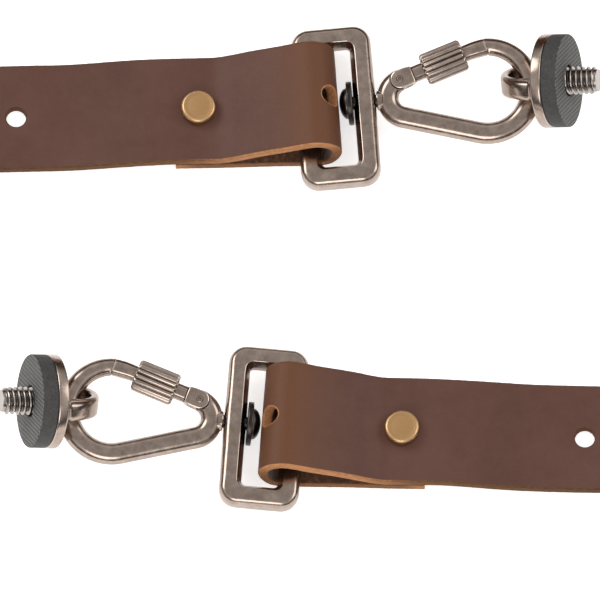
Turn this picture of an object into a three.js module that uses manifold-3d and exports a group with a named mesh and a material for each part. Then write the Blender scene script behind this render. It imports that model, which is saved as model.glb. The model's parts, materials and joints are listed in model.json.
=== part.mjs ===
// A leather camera strap, lying on a table, with a swivel snap hook and a camera screw at each end.
// Millimetres, +Z up, the table at z = 0. Each end is built in the top view's own coordinates.

import * as THREE from 'three';
import { mergeVertices } from 'three/addons/utils/BufferGeometryUtils.js';
import Module from 'manifold-3d';

const wasm = await Module();
wasm.setup();

// Leather
const strapWidth = 25;
const strapThickness = 2.3;
const layerGap = 0.25; // between the two layers at the rivet
const lapLength = 5.4; // free end past the rivet
const foldHeight = 13.7; // table to the top of the fold
const easeLength = 33; // rivet to where the strap lies flat again
const strapHoleRadius = 2.25;
const strapHoleOffset = 41.2; // rivet to the hole in the flat strap
const strapYaw = 1.3; // degrees, the strap's slope in the top view
const foldSkew = 3; // degrees, the fold's crease against the strap
const foldHoleShare = 0.31; // share of the fold's line where the hole is, from the under layer to the rivet

// The stretch of strap between the two ends
const twistStart = 46; // rivet to where the strap starts to turn on edge
const twistLength = 90;
const nearTurnRadius = 26; // centre line, beside end a
const endSpacing = 77.1; // end a to end b, across the table

// Rivet
const rivetHeadRadius = 3.95;
const rivetHeadHeight = 2;
const rivetHeadRound = 0.8; // radius round the head's rim
const rivetPostRadius = 1.5;
const rivetBackRadius = 3.5;
const rivetBackHeight = 0.7;

// Swivel loop
const frameDepth = 18;
const strapPlay = 2; // beside the leather, in the loop
const barWidth = 4.5;
const barHeight = 5;
const barChamferAcross = 0.5;
const barChamferDown = 1.2;
const frameCornerRadius = 4;
const frameInnerRadius = 1;
const bossLength = 11;
const bossInward = 0.4;
const bossOutward = 0.1;
const swivelOffset = 0.95; // middle of the loop's bar to the swivel, towards the gate

// Swivel
const swivelShankRadius = 1.5;
const washerRadius = 4.95;
const washerThickness = 1.2;
const domeRadius = 3.5;
const domeHeight = 1.6;
const domeClearance = 0.33; // between the dome and the end of the leather's fold

// Snap hook
const hookWidth = 4.9; // across the wire, in the hook's plane
const hookThickness = 4; // across the wire, through the hook's plane
const hookChamfer = 1;
const hookSmallRadius = 4.45;
const hookBowRadius = 9.75;
const hookBowDistance = 18.15; // between the centres of the two arcs
const hookBowOffset = 0.05; // bow centre off the swivel's axis, to the gate's side
const noseAngle = 87; // degrees round the bow where the nose ends
const noseLift = 0.2; // the nose stands this far outside the bow's arc
const noseLiftShare = 1 / 3; // share of the bow's arc over which that fades

// Gate
const gateRodRadius = 1.6;
const gateTipRadius = 1.8;
const gateStraightShare = 0.78; // share of the gate before its tip bends
const gateBendSag = 0.25; // share of the tip's offset, how hollow the bend is
const gateForkReach = 1.5; // fork past the hinge's eye
const tongueThickness = 1.5;
const hingeRadius = 2.1;
const gatePinRadius = 0.8;
const gatePinStandOut = 0.25;

// Locking sleeve
const sleeveLength = 9.2;
const sleeveRadius = 3.55;
const sleeveBoreRadius = 2.5;
const sleeveStart = 5.9; // gate hinge to the sleeve's near end
const fluteCount = 16;
const fluteDepth = 0.35;

// Camera mount
const discRadius = 10.6;
const discThickness = 2.4;
const discChamfer = 0.4;
const padRadius = 10.5;
const padThickness = 3.4;
const padChamfer = 0.3;
const padHoleRadius = 3.5;
const eyeReach = 9.7; // behind the disc
const eyeHalfWidth = 8.8;
const eyeThickness = 4.6;
const eyeHolePlay = 1.7; // between the hook's wire and the hole
const eyeHoleFlare = 1.2; // how much wider the hole is at the eye's faces
const eyeHoleBite = 0.4; // how far the hole's round runs past the disc's back
const limbClearance = 0.65; // between the hook's wire and the disc
const studRadius = 3.175;
const studRootRadius = 2.55;
const studPitch = 1.27;
const studReach = 6.9; // out of the pad
const studSeatDepth = 1.4; // into the disc

// How the pieces of end a lie in the top view
const rivetX = -22.85;
const rivetY = 44.1;
const frameX = 8.1;
const frameY = 43.9;
const hardwareYaw = 4.3; // degrees
const hardwarePitch = 3.5;
const hookRoll = 12;
const mountYaw = -5.75;
const mountPitch = 17;
const eyeRoll = 39; // degrees, the eye's hole turned up from level
const limbInEye = 6; // degrees round the bow where the eye hangs

// Clearances and facets
const gap = 0.3; // between pieces that rest on each other
const runningGap = 0.25; // between pieces that turn on each other
const discSides = 28;
const roundSides = 20;
const smallSides = 16;
const rodSides = 8;
const cornerSteps = 3; // a rounded corner or rim
const domeSteps = 5;
const eyeSteps = 12;
const foldSteps = 36;
const easeSteps = 6;
const turnSteps = 14;
const wireSteps = 7; // per right angle of the hook's bow
const cutMargin = 1; // how far a cutting tool runs past what it cuts
const joinMargin = 0.5; // how far joined shapes run into each other

const colors = {
  leather: 0x6b4a3c,
  brass: 0xa5875a,
  gunmetal: 0x82746a,
  darkMetal: 0x2e2926,
  rubber: 0x4b4b48,
  nickel: 0xb9b0a8,
};

const up = new THREE.Vector3(0, 0, 1);
const radians = THREE.MathUtils.degToRad;
const vector = (x, y, z = 0) => new THREE.Vector3(x, y, z);

// Closed meshes, cuts and joins
function toSolid(geometry) {
  const bare = geometry.clone();
  bare.deleteAttribute('normal');
  bare.deleteAttribute('uv');
  const merged = mergeVertices(bare);
  const mesh = new wasm.Mesh({
    numProp: 3,
    vertProperties: new Float32Array(merged.attributes.position.array),
    triVerts: new Uint32Array(merged.index.array),
  });
  return new wasm.Manifold(mesh);
}

function toGeometry(solid) {
  const mesh = solid.getMesh();
  const geometry = new THREE.BufferGeometry();
  geometry.setAttribute('position', new THREE.BufferAttribute(mesh.vertProperties, 3));
  geometry.setIndex(new THREE.BufferAttribute(mesh.triVerts, 1));
  return geometry;
}

function join(first, ...others) {
  return toGeometry(others.reduce((solid, other) => solid.add(toSolid(other)), toSolid(first)));
}

function cut(body, ...tools) {
  return toGeometry(tools.reduce((solid, tool) => solid.subtract(toSolid(tool)), toSolid(body)));
}

// A closed solid through rings of points; each ring turns from its side to its up direction.
function sweep(rings) {
  const size = rings[0].length;
  const faces = [];
  for (let i = 0; i < rings.length - 1; i++) {
    const near = i * size;
    const far = near + size;
    for (let k = 0; k < size; k++) {
      const next = (k + 1) % size;
      faces.push(near + k, near + next, far + next);
      faces.push(near + k, far + next, far + k);
    }
  }
  const end = (rings.length - 1) * size;
  for (let k = 1; k < size - 1; k++) {
    faces.push(0, k + 1, k);
    faces.push(end, end + k, end + k + 1);
  }
  const geometry = new THREE.BufferGeometry();
  geometry.setFromPoints(rings.flat());
  geometry.setIndex(faces);
  return geometry;
}

// One ring: the outline's points laid out from a centre along two directions.
function ring(centre, side, rise, outline) {
  return outline.map(([across, height]) => centre.clone().addScaledVector(side, across).addScaledVector(rise, height));
}

function chamferedOutline(width, height, chamferAcross, chamferDown) {
  const across = width / 2;
  const tall = height / 2;
  return [
    [across, chamferDown - tall],
    [across, tall - chamferDown],
    [across - chamferAcross, tall],
    [chamferAcross - across, tall],
    [-across, tall - chamferDown],
    [-across, chamferDown - tall],
    [chamferAcross - across, -tall],
    [across - chamferAcross, -tall],
  ];
}

function roundOutline(radius, sides) {
  return Array.from({ length: sides }, (_, k) => {
    const angle = ((k + 0.5) / sides) * 2 * Math.PI;
    return [radius * Math.cos(angle), radius * Math.sin(angle)];
  });
}

// Turned pieces, with a profile of [radius, distance along +X]
function turned(profile, sides) {
  const points = profile.map(([radius, along]) => new THREE.Vector2(radius, along));
  return new THREE.LatheGeometry(points, sides).rotateZ(-Math.PI / 2);
}

function rodX(radius, from, to, sides) {
  return turned([[0, from], [radius, from], [radius, to], [0, to]], sides);
}

function rodZ(radius, from, to, sides) {
  return rodX(radius, from, to, sides).rotateY(-Math.PI / 2);
}

function box(lengthX, lengthY, lengthZ, centre) {
  return new THREE.BoxGeometry(lengthX, lengthY, lengthZ).translate(centre.x, centre.y, centre.z);
}

// Distances along the swivel's axis, from beside the loop's middle
const swivelFace = frameDepth / 2 - barWidth - bossInward - runningGap; // washer against the boss
const hookStart = frameDepth / 2 + bossOutward + runningGap; // hook's base
const domeBase = swivelFace - washerThickness - runningGap;

// Places shared by the strap and what it carries
const layeredCentre = 1.5 * strapThickness + layerGap; // upper layer's middle at the rivet
const yaw = radians(strapYaw);
const rivetPlace = { a: vector(rivetX, rivetY), b: vector(-rivetX, rivetY - endSpacing) };
const frameWidth = strapWidth + 2 * (strapPlay + barWidth);
const foldReach = frameX + domeBase - domeHeight - domeClearance - rivetX; // rivet to the outside of the fold

// The fold seen from the side, from the free end below to the crest, then back down to the rivet.
// reach: share of the way from the rivet to the fold's end; rise: share of the fold's own height.
const foldFront = [
  { reach: 0.86, rise: 0 },
  { reach: 0.93, rise: 0.08 },
  { reach: 0.972, rise: 0.25 },
  { reach: 0.995, rise: 0.45 },
  { reach: 1, rise: 0.6 },
  { reach: 0.985, rise: 0.76 },
  { reach: 0.94, rise: 0.92 },
  { reach: 0.885, rise: 0.99 },
  { reach: 0.84, rise: 1 },
];
const foldBack = [
  { reach: 0.76, rise: 0.91 },
  { reach: 0.655, rise: 0.74 },
  { reach: 0.5, rise: 0.53 },
  { reach: 0.37, rise: 0.34 },
  { reach: 0.25, rise: 0.14 },
  { reach: 0.14, rise: 0.01 },
];

// Middle line of the leather from its free end round the fold to just past the rivet, side view.
function foldLine() {
  const low = strapThickness / 2;
  const high = foldHeight - strapThickness / 2;
  const length = foldReach - strapThickness / 2;
  const front = foldFront.map((row) => vector(row.reach * length, low + row.rise * (high - low)));
  const back = foldBack.map((row) => vector(row.reach * length, layeredCentre + row.rise * (high - layeredCentre)));
  const start = vector(front[0].x - strapThickness, low);
  const end = vector(0, layeredCentre);
  return new THREE.CatmullRomCurve3([start, ...front, ...back, end], false, 'centripetal');
}

// Stations of one folded end, from the free end to the start of the twist.
// Each has its place in the plan, the leather's thickness direction and its width direction.
function foldStations(end) {
  const rivet = rivetPlace[end];
  const hand = end === 'a' ? 1 : -1;
  const outward = vector(hand * Math.cos(yaw), Math.sin(yaw));
  const line = foldLine();
  const profile = [{ x: -lapLength, z: strapThickness / 2, tangent: vector(1, 0) }];
  for (let i = 0; i <= foldSteps; i++) {
    const point = line.getPointAt(i / foldSteps);
    profile.push({ x: point.x, z: point.y, tangent: line.getTangentAt(i / foldSteps) });
  }
  profile.push({ x: -lapLength, z: layeredCentre, tangent: vector(-1, 0) });
  for (let i = 1; i <= easeSteps; i++) {
    const share = i / easeSteps;
    const drop = share * share * (3 - 2 * share);
    const slope = (6 * share * (1 - share) * (layeredCentre - strapThickness / 2)) / (easeLength - lapLength);
    profile.push({
      x: -lapLength - share * (easeLength - lapLength),
      z: layeredCentre - drop * (layeredCentre - strapThickness / 2),
      tangent: vector(-1, -slope).normalize(),
    });
  }
  profile.push({ x: -twistStart, z: strapThickness / 2, tangent: vector(-1, 0) });
  return profile.map(({ x, z, tangent }) => {
    const skew = (radians(foldSkew) * Math.max(0, x)) / foldReach;
    const along = outward.clone().applyAxisAngle(up, hand * skew);
    const grain = vector(0, 0, -tangent.x).addScaledVector(outward, tangent.y);
    const centre = rivet.clone().addScaledVector(outward, x).setZ(z);
    return { centre, grain, width: up.clone().cross(along).multiplyScalar(-hand) };
  });
}

// Stations of the plain way round: twist on edge, turn, run back, turn and twist flat again.
function hiddenStations() {
  const straight = twistStart + twistLength;
  const leave = vector(-Math.cos(yaw), -Math.sin(yaw));
  const arrive = vector(-Math.cos(yaw), Math.sin(yaw));
  const across = rivetPlace.a.y - rivetPlace.b.y;
  const farTurnRadius = nearTurnRadius + across / (1 + Math.cos(yaw));
  const turn = Math.PI + yaw;
  const stations = [];

  const addStation = (place, heading, tilt) => {
    const left = up.clone().cross(heading);
    const grain = up.clone().multiplyScalar(Math.cos(tilt)).addScaledVector(left, Math.sin(tilt));
    const width = left.multiplyScalar(Math.cos(tilt)).addScaledVector(up, -Math.sin(tilt));
    const height = (strapWidth / 2) * Math.sin(tilt) + (strapThickness / 2) * Math.cos(tilt);
    stations.push({ centre: place.clone().setZ(height), grain, width });
  };
  const addTwist = (rivet, heading, direction) => {
    for (let i = 1; i <= turnSteps; i++) {
      const share = direction > 0 ? i / turnSteps : 1 - (i - 1) / turnSteps;
      const ease = share * share * (3 - 2 * share);
      const distance = direction * (twistStart + share * twistLength);
      addStation(rivet.clone().addScaledVector(heading, distance), heading, (ease * Math.PI) / 2);
    }
  };
  const addTurn = (centre, radius, heading, steps) => {
    for (let i = 1; i <= steps; i++) {
      const now = heading.clone().applyAxisAngle(up, (-turn * i) / steps);
      addStation(centre.clone().addScaledVector(up.clone().cross(now), radius), now, Math.PI / 2);
    }
  };

  addTwist(rivetPlace.a, leave, 1);
  const nearEnd = rivetPlace.a.clone().addScaledVector(leave, straight);
  const nearCentre = nearEnd.addScaledVector(up.clone().cross(leave), -nearTurnRadius);
  addTurn(nearCentre, nearTurnRadius, leave, turnSteps);

  const farEnd = rivetPlace.b.clone().addScaledVector(arrive, -straight);
  const farCentre = farEnd.addScaledVector(up.clone().cross(arrive), -farTurnRadius);
  const eastward = vector(1, 0);
  addStation(farCentre.clone().add(vector(0, farTurnRadius)), eastward, Math.PI / 2);
  addTurn(farCentre, farTurnRadius, eastward, 2 * turnSteps);
  addTwist(rivetPlace.b, arrive, -1);
  return stations;
}

function strapGeometry() {
  const stations = [...foldStations('a'), ...hiddenStations(), ...foldStations('b').reverse()];
  const outline = [
    [strapWidth / 2, -strapThickness / 2],
    [strapWidth / 2, strapThickness / 2],
    [-strapWidth / 2, strapThickness / 2],
    [-strapWidth / 2, -strapThickness / 2],
  ];
  const strap = sweep(stations.map((s) => ring(s.centre, s.width, s.grain, outline)));
  const line = foldLine();
  const foldHole = line.getPointAt(foldHoleShare);
  const foldTangent = line.getTangentAt(foldHoleShare);
  const tools = Object.entries(rivetPlace).flatMap(([end, rivet]) => {
    const outward = vector((end === 'a' ? 1 : -1) * Math.cos(yaw), Math.sin(yaw));
    const standing = (tool, distance, height = 0) => {
      const place = rivet.clone().addScaledVector(outward, distance);
      return tool.translate(place.x, place.y, height);
    };
    const foldGrain = up.clone().multiplyScalar(-foldTangent.x).addScaledVector(outward, foldTangent.y);
    const lean = new THREE.Quaternion().setFromUnitVectors(up, foldGrain.normalize());
    const foldTool = rodZ(strapHoleRadius, -strapThickness, strapThickness, smallSides).applyQuaternion(lean);
    return [
      standing(rodZ(rivetPostRadius + gap, -cutMargin, foldHeight, smallSides), 0),
      standing(rodZ(rivetBackRadius + gap, -cutMargin, rivetBackHeight + gap, roundSides), 0),
      standing(rodZ(strapHoleRadius, -cutMargin, foldHeight, smallSides), -strapHoleOffset),
      standing(foldTool, foldHole.x, foldHole.y),
    ];
  });
  return cut(strap, ...tools);
}

function rivetGeometry() {
  const seat = layeredCentre + strapThickness / 2 + gap;
  const top = seat + rivetHeadHeight;
  const rim = Array.from({ length: cornerSteps + 1 }, (_, i) => {
    const angle = (i / cornerSteps) * (Math.PI / 2);
    const inward = rivetHeadRound * (1 - Math.cos(angle));
    return [rivetHeadRadius - inward, top - rivetHeadRound * (1 - Math.sin(angle))];
  });
  return turned([
    [0, 0],
    [rivetBackRadius, 0],
    [rivetBackRadius, rivetBackHeight],
    [rivetPostRadius, rivetBackHeight],
    [rivetPostRadius, seat],
    [rivetHeadRadius, seat],
    ...rim,
    [0, top],
  ], roundSides).rotateY(-Math.PI / 2);
}

// The swivel loop, its middle at the origin
const halfDepth = (frameDepth - barWidth) / 2; // middle to the middle of its long bars

function roundedRectangle(path, lengthX, lengthY, radius) {
  const x = lengthX / 2 - radius;
  const y = lengthY / 2 - radius;
  const quarter = Math.PI / 2;
  [[x, y], [-x, y], [-x, -y], [x, -y]].forEach(([centreX, centreY], index) => {
    path.absarc(centreX, centreY, radius, index * quarter, (index + 1) * quarter);
  });
  path.closePath();
  return path;
}

function frameGeometry() {
  const shape = roundedRectangle(new THREE.Shape(), frameDepth, frameWidth, frameCornerRadius);
  const openingX = frameDepth - 2 * barWidth;
  const openingY = frameWidth - 2 * barWidth;
  shape.holes.push(roundedRectangle(new THREE.Path(), openingX, openingY, frameInnerRadius));
  const straightHeight = barHeight - 2 * barChamferDown;
  const bars = new THREE.ExtrudeGeometry(shape, {
    depth: straightHeight,
    curveSegments: cornerSteps,
    bevelThickness: barChamferDown,
    bevelSize: barChamferAcross,
    bevelOffset: -barChamferAcross,
    bevelSegments: 1,
  }).translate(0, 0, -straightHeight / 2);
  const bossHeight = barHeight - barChamferDown;
  const bossEnd = bossLength / 2 - bossInward;
  const bossOutline = [
    [halfDepth, -bossLength / 2 - barWidth / 2],
    [frameDepth / 2 + bossOutward, -bossEnd],
    [frameDepth / 2 + bossOutward, bossEnd],
    [halfDepth, bossLength / 2 + barWidth / 2],
    [halfDepth - barWidth / 2 - bossInward, bossEnd],
    [halfDepth - barWidth / 2 - bossInward, -bossEnd],
  ].map(([x, y]) => new THREE.Vector2(x, y + swivelOffset));
  const boss = new THREE.ExtrudeGeometry(new THREE.Shape(bossOutline), { depth: bossHeight, bevelEnabled: false })
    .translate(0, 0, -bossHeight / 2);
  const bore = rodX(swivelShankRadius + gap, 0, frameDepth, smallSides).translate(0, swivelOffset, 0);
  return cut(join(bars, boss), bore);
}

function washerGeometry() {
  const from = swivelFace - washerThickness;
  const bore = swivelShankRadius + runningGap;
  return turned([
    [bore, from],
    [washerRadius, from],
    [washerRadius, swivelFace],
    [bore, swivelFace],
    [bore, from],
  ], roundSides);
}

function swivelPinGeometry() {
  const dome = Array.from({ length: domeSteps }, (_, i) => {
    const angle = (i / domeSteps) * (Math.PI / 2);
    return [domeRadius * Math.sin(angle), domeBase - domeHeight * Math.cos(angle)];
  });
  const tail = hookStart + hookWidth - gap;
  return turned([
    ...dome,
    [domeRadius, domeBase],
    [swivelShankRadius, domeBase],
    [swivelShankRadius, tail],
    [0, tail],
  ], roundSides);
}

// The hook's plane: x along the swivel's axis from beside the loop's middle, y towards the gate
const smallCentre = vector(hookStart + hookWidth / 2 + hookSmallRadius, 0);
const bowCentre = smallCentre.clone().add(vector(hookBowDistance, hookBowOffset));
const centreTurn = Math.atan2(hookBowOffset, hookBowDistance);
const sideTurn = Math.asin((hookBowRadius - hookSmallRadius) / bowCentre.distanceTo(smallCentre));
const gateAngle = centreTurn + sideTurn; // the gate's slope
const direction = (angle) => vector(Math.cos(angle), Math.sin(angle));
const onArc = (centre, radius, angle) => centre.clone().addScaledVector(direction(angle), radius);
const hinge = onArc(smallCentre, hookSmallRadius, Math.PI / 2 + gateAngle);
const noseTurn = radians(noseAngle);
const nose = onArc(bowCentre, hookBowRadius + noseLift, noseTurn);

function hookBodyGeometry() {
  const path = [];
  const addArc = (centre, radius, from, to, steps, lift = 0) => {
    for (let i = 0; i <= steps; i++) {
      const share = i / steps;
      const angle = from + (to - from) * share;
      const extra = lift * Math.max(0, 1 - share / noseLiftShare);
      path.push({ place: onArc(centre, radius + extra, angle), outward: direction(angle) });
    }
  };
  const lowAngle = centreTurn - sideTurn - Math.PI / 2;
  addArc(bowCentre, hookBowRadius, noseTurn, lowAngle, 2 * wireSteps, noseLift);
  const squareToGate = direction(gateAngle + Math.PI / 2);
  path[0].outward = squareToGate.divideScalar(squareToGate.dot(path[0].outward));
  const hingeAngle = Math.PI / 2 + gateAngle - 2 * Math.PI;
  addArc(smallCentre, hookSmallRadius, lowAngle, hingeAngle, wireSteps + 2);
  const outline = chamferedOutline(hookWidth, hookThickness, hookChamfer, hookChamfer);
  const wire = sweep(path.map(({ place, outward }) => ring(place, outward, up, outline)));

  const ear = rodZ(hingeRadius, -hookThickness / 2, hookThickness / 2, smallSides).translate(hinge.x, hinge.y, 0);
  const pocketRadius = hingeRadius + gap;
  const cheekCuts = [1, -1].map((side) => {
    const depth = hookThickness / 2 + cutMargin - tongueThickness / 2;
    const middle = tongueThickness / 2 + depth / 2;
    const tool = rodZ(pocketRadius, -depth / 2, depth / 2, roundSides);
    return tool.translate(hinge.x, hinge.y, side * middle);
  });
  const pinHole = rodZ(gatePinRadius + gap, -hookThickness, hookThickness, smallSides).translate(hinge.x, hinge.y, 0);
  const swivelBore = rodX(swivelShankRadius + gap, hookStart - cutMargin, smallCentre.x, smallSides);
  return cut(join(wire, ear), ...cheekCuts, pinHole, swivelBore);
}

function gatePinGeometry() {
  const half = hookThickness / 2 + gatePinStandOut;
  return rodZ(gatePinRadius, -half, half, smallSides).translate(hinge.x, hinge.y, 0);
}

// The gate in its own frame: the hinge at the origin, its rod along +X
const toGate = new THREE.Matrix4()
  .makeRotationZ(gateAngle)
  .setPosition(hinge);

function gateGeometry() {
  const tip = nose.clone().applyMatrix4(toGate.clone().invert());
  const bend = vector(tip.x * gateStraightShare, 0);
  const forkLength = hingeRadius + gateForkReach;
  const rodOutline = roundOutline(1, rodSides);
  const stretches = [
    { place: vector(forkLength - joinMargin, 0), radius: gateRodRadius },
    { place: bend, radius: gateRodRadius },
    { place: bend.clone().lerp(tip, 1 / 2).sub(vector(0, gateBendSag * tip.y)), radius: gateTipRadius },
    { place: tip.clone().sub(vector(runningGap, 0)), radius: gateTipRadius },
  ];
  const rings = stretches.map(({ place, radius }) => {
    const outline = rodOutline.map(([across, height]) => [across * radius, height * radius]);
    return ring(place, vector(0, 1), up, outline);
  });
  const fork = box(forkLength, 2 * gateRodRadius, hookThickness, vector(forkLength / 2, 0, 0));
  const eye = rodZ(hingeRadius, -hookThickness / 2, hookThickness / 2, smallSides);
  const slotLength = 2 * (hingeRadius + gap);
  const slot = box(slotLength, slotLength, tongueThickness + 2 * gap, vector(0, 0, 0));
  const hole = rodZ(gatePinRadius + gap, -hookThickness, hookThickness, smallSides);
  return cut(join(sweep(rings), fork, eye), slot, hole).applyMatrix4(toGate);
}

function sleeveGeometry() {
  const points = Array.from({ length: 2 * fluteCount }, (_, k) => {
    const angle = (k / fluteCount) * Math.PI;
    const radius = sleeveRadius - (k % 2) * fluteDepth;
    return new THREE.Vector2(radius * Math.cos(angle), radius * Math.sin(angle));
  });
  const shape = new THREE.Shape(points);
  const bore = new THREE.Path(roundOutline(sleeveBoreRadius, smallSides).map(([x, y]) => new THREE.Vector2(x, y)));
  shape.holes.push(bore);
  return new THREE.ExtrudeGeometry(shape, { depth: sleeveLength, bevelEnabled: false })
    .rotateY(Math.PI / 2)
    .translate(sleeveStart, 0, 0)
    .applyMatrix4(toGate);
}

// The camera mount in its own frame: +X out of the pad's face, the disc's back at the origin
const padBack = discThickness + gap;
const padFace = padBack + padThickness;
const eyeHoleRadius = hookWidth / 2 + eyeHolePlay;
const eyeHoleDepth = eyeHoleRadius - eyeHoleBite; // disc to the hole's centre
const limbDepth = hookWidth / 2 + limbClearance; // disc to the middle of the hook's wire

function mountBodyGeometry() {
  const rim = discRadius - discChamfer;
  const disc = turned([
    [0, 0],
    [rim, 0],
    [discRadius, discChamfer],
    [discRadius, discThickness - discChamfer],
    [rim, discThickness],
    [0, discThickness],
  ], discSides);
  const arch = Array.from({ length: eyeSteps + 1 }, (_, i) => {
    const angle = (i / eyeSteps) * Math.PI;
    return new THREE.Vector2(-eyeReach * Math.sin(angle), -eyeHalfWidth * Math.cos(angle));
  });
  const inside = discThickness / 2;
  const outline = [...arch, new THREE.Vector2(inside, eyeHalfWidth), new THREE.Vector2(inside, -eyeHalfWidth)];
  const eye = new THREE.ExtrudeGeometry(new THREE.Shape(outline), { depth: eyeThickness, bevelEnabled: false })
    .translate(0, 0, -eyeThickness / 2);
  const half = eyeThickness / 2;
  const wide = eyeHoleRadius + eyeHoleFlare;
  const flare = [-1, -1 / 2, 0, 1 / 2, 1].map((share) => [eyeHoleRadius + eyeHoleFlare * share * share, share * half]);
  const hole = turned([
    [0, -half - cutMargin],
    [wide, -half - cutMargin],
    ...flare,
    [wide, half + cutMargin],
    [0, half + cutMargin],
  ], smallSides).rotateY(-Math.PI / 2).translate(-eyeHoleDepth, 0, 0);
  const studSeat = rodX(studRadius + gap, discThickness - studSeatDepth, discThickness + cutMargin, smallSides);
  return cut(join(disc, cut(eye, hole)), studSeat).rotateX(Math.PI / 2);
}

function padGeometry() {
  const rim = padRadius - padChamfer;
  return turned([
    [padHoleRadius, padBack],
    [padRadius, padBack],
    [padRadius, padFace - padChamfer],
    [rim, padFace],
    [padHoleRadius, padFace],
    [padHoleRadius, padBack],
  ], discSides);
}

function studGeometry() {
  const root = discThickness - studSeatDepth + gap;
  const end = padFace + studReach;
  const threads = Math.floor((end - padFace) / studPitch);
  const profile = [[0, root], [studRootRadius, root]];
  for (let i = threads; i > 0; i--) {
    const valley = end - i * studPitch;
    profile.push([studRootRadius, valley], [studRadius, valley + studPitch / 2]);
  }
  return turned([...profile, [studRootRadius, end], [0, end]], smallSides);
}

// Groups that place the pieces of one end
function degreesFrame(position, yawAngle, pitchAngle, rollAngle) {
  const group = new THREE.Group();
  group.position.copy(position);
  group.rotation.set(radians(rollAngle), radians(-pitchAngle), radians(yawAngle), 'ZYX');
  group.updateMatrix();
  return group;
}

function piece(name, geometry, finish) {
  const material = new THREE.MeshStandardMaterial(finish);
  const mesh = new THREE.Mesh(geometry, material);
  mesh.name = name;
  return mesh;
}

const finishes = {
  leather: { color: colors.leather, roughness: 0.6, metalness: 0 },
  brass: { color: colors.brass, roughness: 0.35, metalness: 1 },
  gunmetal: { color: colors.gunmetal, roughness: 0.3, metalness: 1 },
  darkMetal: { color: colors.darkMetal, roughness: 0.4, metalness: 1 },
  rubber: { color: colors.rubber, roughness: 0.8, metalness: 0 },
  nickel: { color: colors.nickel, roughness: 0.25, metalness: 1 },
};

function strapEnd(end) {
  const lean = radians(hardwarePitch);
  const barRest = strapThickness + gap + (barHeight * Math.cos(lean) + barWidth * Math.sin(lean)) / 2;
  const frameHeight = barRest + halfDepth * Math.sin(lean);
  const frame = degreesFrame(vector(frameX, frameY, frameHeight), hardwareYaw, hardwarePitch, 0);
  frame.add(piece(`frame_${end}`, frameGeometry(), finishes.gunmetal));

  const swivelPlace = vector(0, swivelOffset).applyMatrix4(frame.matrix);
  const hook = degreesFrame(swivelPlace, hardwareYaw, hardwarePitch, hookRoll);
  hook.add(
    piece(`swivel_pin_${end}`, swivelPinGeometry(), finishes.darkMetal),
    piece(`swivel_washer_${end}`, washerGeometry(), finishes.darkMetal),
    piece(`hook_body_${end}`, hookBodyGeometry(), finishes.gunmetal),
    piece(`gate_pin_${end}`, gatePinGeometry(), finishes.gunmetal),
    piece(`gate_${end}`, gateGeometry(), finishes.gunmetal),
    piece(`locking_sleeve_${end}`, sleeveGeometry(), finishes.gunmetal),
  );

  const limb = onArc(bowCentre, hookBowRadius, radians(limbInEye)).applyMatrix4(hook.matrix);
  const mount = degreesFrame(vector(0, 0, 0), mountYaw, mountPitch, eyeRoll);
  const tilt = radians(mountPitch);
  const standing = discRadius * Math.cos(tilt) - discChamfer * Math.sin(tilt); // height of the disc on its rim
  mount.position.copy(limb.sub(vector(-limbDepth, 0, 0).applyMatrix4(mount.matrix))).setZ(standing);
  mount.add(
    piece(`mount_body_${end}`, mountBodyGeometry(), finishes.gunmetal),
    piece(`rubber_pad_${end}`, padGeometry(), finishes.rubber),
    piece(`screw_stud_${end}`, studGeometry(), finishes.nickel),
  );

  const rivet = piece(`rivet_${end}`, rivetGeometry(), finishes.brass);
  rivet.position.set(rivetX, rivetY, 0);

  const group = new THREE.Group();
  group.add(frame, hook, mount, rivet);
  return group;
}

// The whole strap, moved so that the origin is under the middle of its box
const strap = new THREE.Group();
const endA = strapEnd('a');
const endB = strapEnd('b');
endB.scale.x = -1;
endB.position.y = -endSpacing;
strap.add(piece('leather_strap', strapGeometry(), finishes.leather), endA, endB);

const bounds = new THREE.Box3().setFromObject(strap, true);
const middle = bounds.getCenter(new THREE.Vector3());
strap.position.set(-middle.x, -middle.y, -bounds.min.z);

export default strap;
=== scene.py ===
import json
import math

import bmesh
import bpy
import numpy as np
from mathutils import Matrix, Vector, noise


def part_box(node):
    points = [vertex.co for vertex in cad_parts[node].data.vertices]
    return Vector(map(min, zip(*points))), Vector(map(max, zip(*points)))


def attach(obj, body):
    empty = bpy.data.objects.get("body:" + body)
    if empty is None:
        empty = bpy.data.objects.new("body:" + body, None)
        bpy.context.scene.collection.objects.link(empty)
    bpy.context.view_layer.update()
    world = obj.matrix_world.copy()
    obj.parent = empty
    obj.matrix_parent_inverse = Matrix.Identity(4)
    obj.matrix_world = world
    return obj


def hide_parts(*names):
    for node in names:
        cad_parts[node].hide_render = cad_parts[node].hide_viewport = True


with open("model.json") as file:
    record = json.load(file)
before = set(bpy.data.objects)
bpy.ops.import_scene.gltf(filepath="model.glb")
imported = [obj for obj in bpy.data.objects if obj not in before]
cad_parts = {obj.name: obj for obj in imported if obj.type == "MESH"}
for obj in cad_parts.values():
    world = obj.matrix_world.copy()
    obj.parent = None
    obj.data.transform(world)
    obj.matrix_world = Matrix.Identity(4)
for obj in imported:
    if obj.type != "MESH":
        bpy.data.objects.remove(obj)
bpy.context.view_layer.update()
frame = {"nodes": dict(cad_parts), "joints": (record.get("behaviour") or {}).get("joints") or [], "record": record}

metre = 0.001  # every shape below is made in millimetres, in its piece's own frame
up = Vector((0, 0, 1))
joints = {joint["name"]: joint for joint in frame["joints"]}
mountPlaces = {mount["name"]: mount for mount in frame["record"]["mounts"]}
print("frame loaded:", len(frame["nodes"]), "pieces")


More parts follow.
